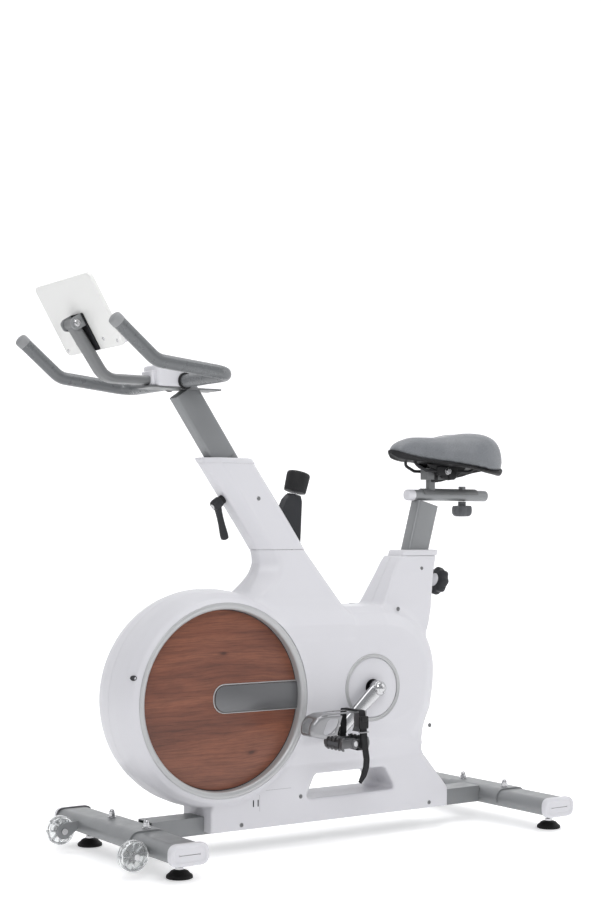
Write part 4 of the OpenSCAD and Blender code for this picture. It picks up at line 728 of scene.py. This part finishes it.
def saddle_pad(shrink=0.0):
    t = np.linspace(0, 1, 76); xs = -112.2 - (1 - np.cos(math.pi*t))/2*291.4
    ny = 40; vs, fs = [], []
    for x in xs:
        w = max(0.6, smoothtab(HW, x, 2.5) - shrink); zt = smoothtab(TOPZ, x) - shrink; zs = smoothtab(SEAM, x) + shrink*0.3
        wide = np.clip((w - 45)/60, 0, 1)
        for j in range(ny + 1):                                   # over the top
            a = math.pi*j/ny; c = math.cos(a); s = math.sin(a)
            yy = w*math.copysign(abs(c)**(0.80 - 0.14*wide), c); p = max(0.0, s)**(0.62 - 0.06*wide)
            dip = 3.4*wide*math.exp(-(yy/17)**2)
            bulge = 1 + 0.035*math.sin(a)**2*0
            vs.append((x, yy*bulge, zs + (zt - zs)*p - dip*p))
        for j in range(1, 14):                                    # under it
            k = -1 + 2*j/14; vs.append((x, w*0.985*k, zs - 1.5*(1 - k*k) + max(0.0, 855 - zs)*(1 - k*k)**0.7))
    m = ny + 1 + 13
    for i in range(len(xs) - 1):
        for j in range(m):
            k = (j + 1) % m; fs.append((i*m + j, i*m + k, (i + 1)*m + k, (i + 1)*m + j))
    fs.append(tuple(range(m))[::-1]); fs.append(tuple((len(xs) - 1)*m + j for j in range(m)))
    return vs, fs
pad = fix(make("saddle_pad", *saddle_pad(1.5), LEATHER, "saddle", ["saddle_cushion"], angle=0))
def swap(o, me):
    old = o.data; mats = [s.material for s in o.material_slots]; o.modifiers.clear(); o.data = me
    if not me.materials:
        for mt in mats: me.materials.append(mt)
    bpy.data.meshes.remove(old)
def baked(o):
    bpy.context.view_layer.update(); dg = bpy.context.evaluated_depsgraph_get(); return bpy.data.meshes.new_from_object(o.evaluated_get(dg))
def inflate(o, voxel, cap, pressure=4.0, frames=20):
    r = o.modifiers.new("r", "REMESH"); r.mode = "VOXEL"; r.voxel_size = voxel; swap(o, baked(o))
    rest = np.empty(len(o.data.vertices)*3); o.data.vertices.foreach_get("co", rest); rest = rest.reshape(-1, 3)
    c = o.modifiers.new("c", "CLOTH"); st = c.settings
    st.quality = 6; st.mass = 0.35; st.use_pressure = True; st.uniform_pressure_force = pressure; st.effector_weights.gravity = 0.0
    st.tension_stiffness = 18; st.compression_stiffness = 18; st.shear_stiffness = 8; st.bending_stiffness = 1.5; c.collision_settings.use_collision = False
    c.point_cache.frame_start = 1; c.point_cache.frame_end = frames
    sc = bpy.context.scene
    for f in range(1, frames + 1): sc.frame_set(f)
    me = baked(o); co = np.empty(len(me.vertices)*3); me.vertices.foreach_get("co", co); co = co.reshape(-1, 3)
    d = co - rest; l = np.linalg.norm(d, axis=1)[:, None]; d = d*np.minimum(1, cap/np.maximum(l, 1e-9))
    me.vertices.foreach_set("co", (rest + d).ravel()); me.update(); swap(o, me); sc.frame_set(1)
    bm = bmesh.new(); bm.from_mesh(o.data)
    for _ in range(3): bmesh.ops.smooth_vert(bm, verts=bm.verts, factor=0.5, use_axis_x=True, use_axis_y=True, use_axis_z=True)
    bm.to_mesh(o.data); bm.free()
    for p in o.data.polygons: p.use_smooth = True
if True: inflate(pad, 0.0042, 0.0035)
sub = pad.modifiers.new("fine", "SUBSURF"); sub.levels = 1; sub.render_levels = 1
# dark base under the pad, with a rolled edge along the seam
def saddle_base():
    t = np.linspace(0, 1, 60); xs = -113.5 - (1 - np.cos(math.pi*t))/2*288.6; vs, fs = [], []; m = 0
    for x in xs:
        w = max(0.5, smoothtab(HW, x, 2.5)); zs = smoothtab(SEAM, x)
        back = float(np.interp(-x, [112, 125, 160, 200, 300, 350, 388, 404], [9, 14, 11, 5, 4, 6, 13, 13]))
        ring = []
        lift = max(0.0, 855 - zs)
        for k in np.linspace(-1, 1, 25): ring.append((x, (w - 3)*k, zs + 1.0 + lift*(1 - k*k)**0.7))
        for k, dz, ins in ((1, -0.5, -0.4), (1, -3.0, -0.2), (1, -back*0.55, 2.0), (1, -back*0.9, 6.0)): ring.append((x, max(0.3, w - ins*min(1, w/20)), zs + dz))
        inn = max(0.2, w - 12*min(1, w/30))
        for k in np.linspace(1, -1, 15): ring.append((x, inn*k, zs - back - 1.5*(1 - k*k) + (lift + max(0, back - 6))*(1 - k*k)**0.7))
        for k, dz, ins in ((1, -back*0.9, 6.0), (1, -back*0.55, 2.0), (1, -3.0, -0.2), (1, -0.5, -0.4)): ring.append((x, -max(0.3, w - ins*min(1, w/20)), zs + dz))
        m = len(ring); vs += ring
    for i in range(len(xs) - 1):
        for j in range(m):
            k = (j + 1) % m; fs.append((i*m + j, i*m + k, (i + 1)*m + k, (i + 1)*m + j))
    fs.append(tuple(range(m))[::-1]); fs.append(tuple((len(xs) - 1)*m + j for j in range(m)))
    return vs, fs
fix(make("saddle_base", *saddle_base(), BLACKP, "saddle", ["saddle_frame"], angle=45))
rl = []
for s in (1, -1):
    p = thin(path([(-168, s*14, 868), (-176, s*22, 850), (-203, s*24, 838), (-332, s*24, 838), (-356, s*30, 852)], 14, 8), 8)
    rl.append(sweepv(p, [3.6]*len(p), [3.6]*len(p), (0, 1, 0.02), 20))
fix(make("saddle_rails", *join(rl), BLACKM, "saddle", angle=60))
cl = [prism(rrect(62, 23, 7, 5), 14.4, 30, lambda a, b, h, s=s: (-262 + a, s*h, 839 + b), 3, 3) for s in (1, -1)]
cl.append(prism(fillet([(-228, 853), (-300, 853), (-292, 834), (-276, 818), (-250, 812), (-232, 826)], [3, 4, 10, 10, 10, 8], 5), -13.8, 13.8, lambda a, b, h: (a, h, b), 2.5, 3))
fix(make("saddle_clamp", *join(cl), BLACKP, "saddle", angle=50))
cb = []
for s in (1, -1):
    v, q = lathe([(8.6, 30), (8.6, 31.2), (7.4, 31.6)], 36, at=(-262, 0, 838)); v2, q2 = lathe([(7.2, 31.2), (7.2, 35.4), (6.4, 36.2), (0.01, 36.3)], 6, at=(-262, 0, 838))
    cb += [(v, q), (v2, q2)] if s > 0 else [mirror_y((v, q)), mirror_y((v2, q2))]
fix(make("saddle_clamp_bolt", *join(cb), STEEL, "saddle", angle=30))

sl = [lathe([(8.4, 812), (14.0, 812), (15.0, 813), (15.0, 833), (13.6, 835), (13.6, 852)], 48, axis="z", at=(-239, 0, 0))]
for s in (1, -1):
    sl.append(lathe([(0.01, 33.5), (9.5, 33.5), (11.4, 32), (11.6, 24), (11.6, 14)], 40, at=(-276, 0, 829)) if s > 0 else mirror_y(lathe([(0.01, 33.5), (9.5, 33.5), (11.4, 32), (11.6, 24), (11.6, 14)], 40, at=(-276, 0, 829))))
    sl.append(prism(fillet([(-205, 856), (-330, 856), (-318, 843), (-296, 826), (-270, 816), (-250, 822), (-238, 838), (-215, 846)], [3, 4, 10, 12, 12, 10, 10, 6], 5), 17, 26, lambda a, b, h, s=s: (a, s*h, b), 2.5, 3))
fix(make("saddle_clamp_ears", *join(sl), BLACKP, "saddle", angle=45))

# ------------------------------------------------------------------ cranks and pedals
CA = math.radians(38); PX, PZ = 170*math.cos(CA), 342.4 - 170*math.sin(CA)
def crank_put(s):
    ca, sa = math.cos(CA), math.sin(CA)
    return (lambda x, y, z: (x*ca + z*sa, y, CZ - x*sa + z*ca)) if s > 0 else (lambda x, y, z: (-(x*ca + z*sa), -y, CZ + x*sa - z*ca))
for s, nm in ((1, "left"), (-1, "right")):
    put = crank_put(s)
    arm = [np.array((x, y, 0.0)) for x, y in ((-6, 104), (8, 104.3), (30, 105.5), (60, 107.5), (95, 110.5), (130, 114.5), (160, 116.4), (176, 116.6))]
    body = sweepv(arm, [13.0, 16.6, 16.4, 15.0, 13.8, 13.0, 13.0, 11.6], [7.4, 8.4, 8.6, 8.4, 8.0, 7.8, 8.0, 7.2], (0, 1, 0), 40, power=2.7, dome=3.5)
    boss = lathe([(10.3, 92), (16, 92), (17.2, 93.2), (17.2, 110.4), (15.8, 112.0), (13.2, 112.3), (12.2, 111.6), (12.0, 110)], 64)
    cap = lathe([(14.6, 110.0), (15.4, 112.6), (14.8, 115.4), (12.6, 118.0), (9.0, 119.9), (8.2, 119.5), (7.4, 120.1), (4.0, 121.2), (0.01, 121.5)], 64)
    eye = lathe([(6.2, 109.4), (12.6, 109.4), (13.5, 110.4), (13.5, 123.6), (12.4, 124.8), (6.2, 124.8)], 56)
    eye = ([(p[0] + 170, p[1], p[2]) for p in eye[0]], eye[1])
    vs, q = join([body, boss, cap, eye])
    fix(make(nm + "_crank_arm", [put(*p) for p in vs], q, CHROME, "crankset", [nm + "_crank"], angle=50))
    pb = "left_pedal" if s > 0 else "right_pedal"
    pp = (lambda x, y, z: (PX + x, y, PZ + z)) if s > 0 else (lambda x, y, z: (-PX + x, -y, 2*CZ - PZ + z))
    # alloy pedal: two toothed side rails, a hub and cross bars
    parts = []
    for sg in (1, -1):
        for y0 in (136, 197):
            parts.append(prism(fillet([(sg*8, -9), (sg*34, -9), (sg*37, -4), (sg*37, 5), (sg*34, 9), (sg*8, 9)], [2, 4, 3, 3, 4, 2], 3), y0, y0 + 7, lambda a, b, h: (a, h, b), 0.9, 2))
        for k in range(10):
            y0 = 136.5 + 6.9*k
            parts.append(prism(fillet([(sg*28, -12.8), (sg*32, -13), (sg*36.6, -9), (sg*36.6, 9), (sg*32, 13), (sg*28, 12.8), (sg*29.5, 6), (sg*29.5, -6)], [1, 1.4, 3, 3, 1.4, 1, 2, 2], 3), y0, y0 + 3.6, lambda a, b, h, q=1.0 + 0.16*(k % 2): (a*(1 if k % 2 else 0.97), h, b*q), 0.7, 2))
        parts.append(prism(fillet([(sg*27.5, -6), (sg*31, -6), (sg*31, 6), (sg*27.5, 6)], [1]*4, 2), 137, 203, lambda a, b, h: (a, h, b), 0.6, 1))
        for k in range(3): parts.append(prism(rrect(22, 5.0, 1.4, 3), -4.5, 4.5, lambda a, b, h, k=k, sg=sg: (sg*18 + a, 151 + 19*k + b, h), 0.8, 2))
    parts.append(lathe([(6.3, 134.2), (9.6, 134.2), (11, 135.6), (11.2, 150), (9.6, 158), (9.6, 186), (11.2, 194), (11.2, 203), (9.8, 205.6), (6.3, 205.8)], 40))
    vs, q = join(parts)
    fix(make(nm + "_pedal_block", [pp(*p) for p in vs], q, PEDAL, pb, [nm + "_pedal_body"], angle=40))
    refl = []
    for sg in (1, -1): refl.append(prism(rrect(40, 9, 2, 3), 36.7, 37.6, lambda a, b, h, sg=sg: (sg*h, 170 + a, b), 0.3, 1))
    vs, q = join(refl)
    fix(make(nm + "_pedal_pads", [pp(*p) for p in vs], q, MIDCH, pb, angle=40))
    # bent plate toe cage with rounded windows, from an implicit shape
    CO = fillet([(34, 13.5), (74, 14.0), (104, 20), (110, 30), (106, 47), (93, 61), (72, 67.4), (-38, 69), (-38, 30), (-30, 13.5)], [0, 20, 8, 14, 16, 18, 24, 3, 0, 0], 5)
    def cage(x, y, z):
        yy = np.abs(y - 170)
        half = 27.5 - 6.5*np.clip((x - 78)/32, 0, 1)**1.6
        out = smax(poly2(CO, x, z), yy - half, 9)
        shell = np.maximum(out, -(out + 2.0))
        side = yy > half - 5
        keep = smax(-(x - 38 + (z - 40)*0.35), z - 62.5, 2)           # side walls only near the nose
        f = np.where(side, np.maximum(shell, keep), shell)
        f = np.maximum(f, np.where(x < 74, 17.2 - z + 0*x, -1e3*np.ones_like(f)) if False else f)
        low = np.maximum(20.5 - z, x - 70)                               # open under the shoe
        f = np.where(x < 70, np.maximum(f, np.minimum(20.5 - z, 40.0)), f)
        wf = np.maximum(np.hypot(np.maximum(yy - 7.5, 0), np.maximum(np.abs(z - 42) - 9.5, 0)) - 6.0, 86 - x)
        wt = np.hypot(np.maximum(yy - 12.5, 0), np.maximum(np.abs(x - 22) - 26, 0)) - 4.0
        wt = np.maximum(wt, 55 - z)
        ws = np.maximum(np.hypot(np.maximum(np.abs(x - 60 + (z - 40)*0.45) - 7.5, 0), np.maximum(np.abs(z - 40) - 8.5, 0)) - 7.5, 12 - yy)
        f = smax(smax(smax(f, -wf, 0.8), -wt, 0.8), -ws, 0.8)
        return np.maximum(f, -38 - x)
    cv, cq = nets(cage, (-42, 138, 8), (116, 202, 76), 1.15, 2)
    fix(make(nm + "_toe_clip_plate", [pp(*p) for p in cv], cq, PLATE, pb, [nm + "_toe_cage"], angle=50))
    # strap: over the cage, down both sides, buckle, curved tail
    over = thin(path([(-15, 137.3, 16), (-15, 137.3, 70.6), (-15, 205, 71.2), (-14, 209.6, 58), (-14, 210.4, 30)], [0, 4, 6, 8, 0], 6), 5)
    tail = [np.array(p, float) for p in ((-14, 210.2, 52), (-14, 212.6, 38), (-15, 213.4, 20), (-17, 213.0, 0), (-20, 212.5, -18), (-23, 212, -34), (-22, 211.2, -52), (-16, 210.6, -68), (-6, 210.2, -84))]
    far = thin(path([(-15, 138.0, 40), (-15, 135.6, 12), (-15, 140, -12.6), (-15, 202, -14.4), (-15, 208.5, -8), (-15, 209.2, 30)], [0, 8, 5, 5, 4, 0], 5), 5)
    w = 8.0
    parts = [sweepv(over, [1.0]*len(over), [w]*len(over), (1, 0, 0.001), 24, power=6), sweepv(far, [1.0]*len(far), [w]*len(far), (1, 0, 0.001), 24, power=6)]
    tt = thin(path(tail, 30, 3), 4); k = len(tt)
    parts.append(sweepv(tt, [1.0]*k, [w if i < k - 4 else w*(0.55 + 0.11*(k - 1 - i)) for i in range(k)], (1, 0, 0.001), 24, power=6))
    vs, q = join(parts)
    fix(make(nm + "_strap", [pp(*p) for p in vs], q, STRAP, pb, [nm + "_pedal_strap"], angle=60))
    bk = [prism(rrect(24, 27, 3, 4), 211.6, 215.6, lambda a, b, h: (-14 + a, h, 46 + b), 1.3, 3), prism(rrect(16, 9, 2, 3), 215.2, 218, lambda a, b, h: (-14 + a, h, 53 + b), 1, 2)]
    vs, q = join(bk)
    fix(make(nm + "_buckle", [pp(*p) for p in vs], q, BLACKP, pb, angle=50))
    loop = thin(path([(-25.5, 212, 25), (-25.5, 216.4, 25), (-2.5, 216.4, 25), (-2.5, 212, 25)], [0, 2, 2, 0], 4), 3)
    vs, q = sweepv(loop, [1.4]*len(loop), [1.4]*len(loop), (0, 0, 1), 14, dome=1)
    fix(make(nm + "_strap_loop", [pp(*p) for p in vs], q, PLATE, pb, angle=60))

# ------------------------------------------------------------------ knob housing
KH = fillet([(150, 640), (146.5, 700), (143.6, 762), (146.5, 773), (171, 780), (184, 768), (196, 742), (214, 727), (214, 640)], [2, 60, 6, 4, 6, 20, 16, 2, 2], 5)
def khf(x, y, z):
    u = (x - 350)*C34 - (z - 858)*S34
    f = smax(poly2(KH, x, z), np.abs(y) - (14 - 2.5*np.clip((z - 690)/80, 0, 1)*0), 4)
    f = smax(f, u + 50.0, 0.6)
    return smax(f, 655.2 - z, 1.0)
kv, kq = nets(khf, (136, -18, 636), (240, 18, 790), 2.0, 3)
fix(make("resistance_cover", kv, kq, CHARC, "frame", ["knob_housing"], angle=50))

# ------------------------------------------------------------------ base pieces
def capx(x0, s):
    put = lambda a, b, h: (x0 + a, s*h, 58 + b)
    outl = dense(rrect(89, 45, 20, 10), 2.5)
    rings = [(0, 252.2), (0.0, 259.5), (0.35, 262.0), (1.2, 264.0), (2.6, 264.9), (6.0, 265.0), (8.2, 264.8), (8.8, 264.0), (9.4, 263.6), (12.0, 263.5), (22.4, 263.5)]
    vs, fs = [], []; m = len(outl)
    for off, h in rings:
        for a, b in outl:
            l = math.hypot(max(0, abs(a) - 22.5), b); da = (abs(a) - 22.5)/max(l, 1e-6) if abs(a) > 22.5 else 0; db = b/max(l, 1e-6) if abs(a) > 22.5 else math.copysign(1, b)
            k = min(off, 22.0)
            na = math.copysign(max(0, abs(a) - da*k), a) if da > 0 else a; nb = b - db*k if abs(b) > 1e-6 else b
            vs.append(put(na, nb, h))
    for i in range(len(rings) - 1):
        for j in range(m):
            k = (j + 1) % m; fs.append((i*m + j, i*m + k, (i + 1)*m + k, (i + 1)*m + j))
    return vs, fs
fix(make("tube_end_covers", *join([capx(x, s) for x in (580, -403) for s in (1, -1)]), WHITE, "frame", ["stabilizer_end_caps"], angle=50))
PAD = [(0.01, 0), (25.5, 0), (27.0, 0.8), (27.5, 2.6), (27.2, 5), (26.4, 6.6), (24.6, 8.0), (20.5, 11.2), (18.8, 13.6), (17.6, 14.6), (14, 16.2), (10, 16.9), (0.01, 17)]
for nm, x, y, b in (("front_left_foot", 567.5, 199.5, "foot_fl"), ("front_right_foot", 567.5, -199.5, "foot_fr"), ("rear_left_foot", -423.6, 204.9, "foot_rl"), ("rear_right_foot", -423.6, -204.9, "foot_rr")):
    def knurl(t, r, h): return r - (0.45*(0.5 - 0.5*math.cos(36*t)) if r > 25 and 0.8 < h < 6 else 0)
    fix(make(nm + "_pad", *lathe(PAD, 216, knurl, axis="z", at=(x, y, 0)), RUBBER, b, [nm], angle=50))
    stud = [(5.0, 16.9), (5.0, 23)]
    h = 23.0
    while h < 36: stud += [(4.3, h + 0.4), (5.0, h + 0.9)]; h += 1.3
    st = lathe(stud, 36, axis="z", at=(x, y, 0)); hexn = lathe([(0.01, 17), (8.6, 17), (9.4, 17.8), (9.4, 22.2), (8.6, 23), (4, 23)], 6, axis="z", at=(x, y, 0))
    fix(make(nm + "_stud", *join([st, hexn]), CHROME, b, angle=30))
for s, nm in ((1, "left"), (-1, "right")):
    f = (lambda vf: vf) if s > 0 else mirror_y
    c = (655, 157, 48.5)
    rim = lathe([(26.2, 4), (27, 1.6), (29.4, 0.6), (30.8, 1.6), (31.5, 4), (31.5, 16), (30.8, 18.4), (29.4, 19.4), (27, 18.4), (26.2, 16), (26.2, 4)], 120, at=c)
    web = lathe([(9, 7.6), (26.4, 8.6), (26.4, 11.4), (9, 12.4), (9, 7.6)], 96, at=c)
    hub = lathe([(4.1, 1), (8.6, 1), (10, 2.2), (10, 18), (8.6, 19.6), (4.1, 19.6), (4.1, 1)], 60, at=c)
    parts = [rim, web, hub]
    for k in range(8):
        a = 2*math.pi*k/8; sp = [np.array((c[0] + r*math.cos(a), c[1] + 10, c[2] + r*math.sin(a))) for r in (9.2, 14, 20, 26.8)]
        parts.append(sweepv(sp, [2.4, 1.8, 1.8, 2.6], [7.4, 6.4, 6.0, 6.6], (0, 1, 0), 20, power=3))
    vs, q = f(join(parts)); fix(make(nm + "_clear_wheel", vs, q, CLEAR, nm + "_wheel", [nm + "_transport_wheel"], angle=50))
    pin = lathe([(0.01, 20.6), (3.0, 20.6), (3.2, 21.4), (5.8, 21.2), (6.4, 20.4), (6.4, 19.8)], 40, at=c)
    vs, q = f(pin); fix(make(nm + "_wheel_pin", vs, q, STEEL, nm + "_wheel", angle=40))
# recess of the casing screw on the front of the drum, a dish painted dark as shade
rc = []
for s in (1,):
    c0 = np.array((602, s*71.0, 393.0)); n0 = np.array((602 - DX, 0, 393 - DZ)); n0 /= np.linalg.norm(n0); n0 = n0*0.72 + np.array((0, s*0.69, 0)); n0 /= np.linalg.norm(n0)
    v, q = lathe([(0.01, -0.9), (2.2, -0.9), (3.9, -0.4), (4.6, 0.5), (5.2, 0.75), (5.6, 0.2)], 36, axis="z")
    z0 = n0; x0 = np.cross((0, 0, 1), z0); x0 /= np.linalg.norm(x0); y0 = np.cross(z0, x0)
    rc.append(([tuple(c0 + x0*p[0]*1.35 + y0*p[1] + z0*(p[2] + 1.0)) for p in v], q))
fix(make("casing_screw_recess_shade", *join(rc), PAINTED_GAP_SHADE, "frame", angle=50))

# ------------------------------------------------------------------ floor, lights, camera
def floor():
    me = bpy.data.meshes.new("floor"); prof = [(7, 0), (-2.2, 0)] + [(-2.2 - 1.6*math.sin(a), 1.6*(1 - math.cos(a))) for a in [math.pi/2*k/16 for k in range(1, 17)]] + [(-3.8, 7)]
    u, n = Vector((-0.556, -0.831, 0)), Vector((0.831, -0.556, 0)); vs = []
    for d, h in prof:
        for k in (-9, 9): vs.append(tuple(u*(-d) + n*k + Vector((0, 0, h))))
    me.from_pydata(vs, [], [(2*i, 2*i + 1, 2*i + 3, 2*i + 2) for i in range(len(prof) - 1)]); me.update()
    for p in me.polygons: p.use_smooth = True
    o = bpy.data.objects.new("floor", me); bpy.context.collection.objects.link(o)
    m, nt, b = new_mat("studio_floor")
    v = coords(nt)
    nt.links.new(ramp(nt, noise(nt, v, 0.7, 3), [(0.3, (0.93, 0.93, 0.935)), (0.7, (0.95, 0.95, 0.955))]), b.inputs["Base Color"])
    b.inputs["Emission Color"].default_value = (1, 1, 1, 1); b.inputs["Emission Strength"].default_value = 0.36; b.inputs["Roughness"].default_value = 0.75; b.inputs["Specular IOR Level"].default_value = 0.15
    me.materials.append(m)
floor()
w = bpy.data.worlds.new("studio"); bpy.context.scene.world = w; w.use_nodes = True
wn = w.node_tree; bg = wn.nodes["Background"]; bg.inputs[1].default_value = 1.0
tc = wn.nodes.new("ShaderNodeTexCoord"); dt = wn.nodes.new("ShaderNodeVectorMath"); dt.operation = "DOT_PRODUCT"
dt.inputs[1].default_value = (-0.556, -0.831, 0.05); wn.links.new(tc.outputs["Generated"], dt.inputs[0])
wr = wn.nodes.new("ShaderNodeValToRGB"); wr.color_ramp.elements[0].position = 0.30; wr.color_ramp.elements[0].color = (0.44, 0.445, 0.46, 1)
wr.color_ramp.elements[1].position = 0.80; wr.color_ramp.elements[1].color = (1.0, 1.0, 1.0, 1)
mr = wn.nodes.new("ShaderNodeMapRange"); mr.inputs[1].default_value = -1; mr.inputs[2].default_value = 1
wn.links.new(dt.outputs["Value"], mr.inputs[0]); wn.links.new(mr.outputs[0], wr.inputs[0]); wn.links.new(wr.outputs[0], bg.inputs[0])
def light(name, at, to, size, power, col=(1, 1, 1)):
    l = bpy.data.lights.new(name, "AREA"); l.shape = "RECTANGLE"; l.size = size[0]; l.size_y = size[1]; l.energy = power; l.color = col
    o = bpy.data.objects.new(name, l); bpy.context.collection.objects.link(o); o.location = at
    o.rotation_euler = (Vector(to) - Vector(at)).to_track_quat("-Z", "Y").to_euler(); return o
light("key", (1.7, 2.5, 2.6), (0.1, 0, 0.5), (1.3, 1.3), 34)
light("top", (-0.1, 0.2, 3.2), (0, 0, 0.4), (2.4, 2.4), 36)
light("side", (-2.6, 1.6, 1.7), (0, 0, 0.6), (1.4, 2.0), 12)
cam = bpy.data.cameras.new("camera"); co = bpy.data.objects.new("camera", cam); bpy.context.collection.objects.link(co)
cam.sensor_width = 36; cam.sensor_fit = "AUTO"; cam.lens = 36*1606.54/900
cam.shift_x = (300.5 - 294.82)/900; cam.shift_y = (550.13 - 450)/900
cam.dof.use_dof = False; cam.clip_end = 60
co.location = (2.16302 - XM/1000, 3.00002, 0.69518)
ya, pt = math.radians(33.79), math.radians(0.67)
fwd = Vector((-math.sin(ya)*math.cos(pt), -math.cos(ya)*math.cos(pt), -math.sin(pt)))
co.rotation_euler = fwd.to_track_quat("-Z", "Y").to_euler()
bpy.context.scene.camera = co
bpy.context.scene.view_settings.view_transform = "Standard"
bpy.context.view_layer.update()
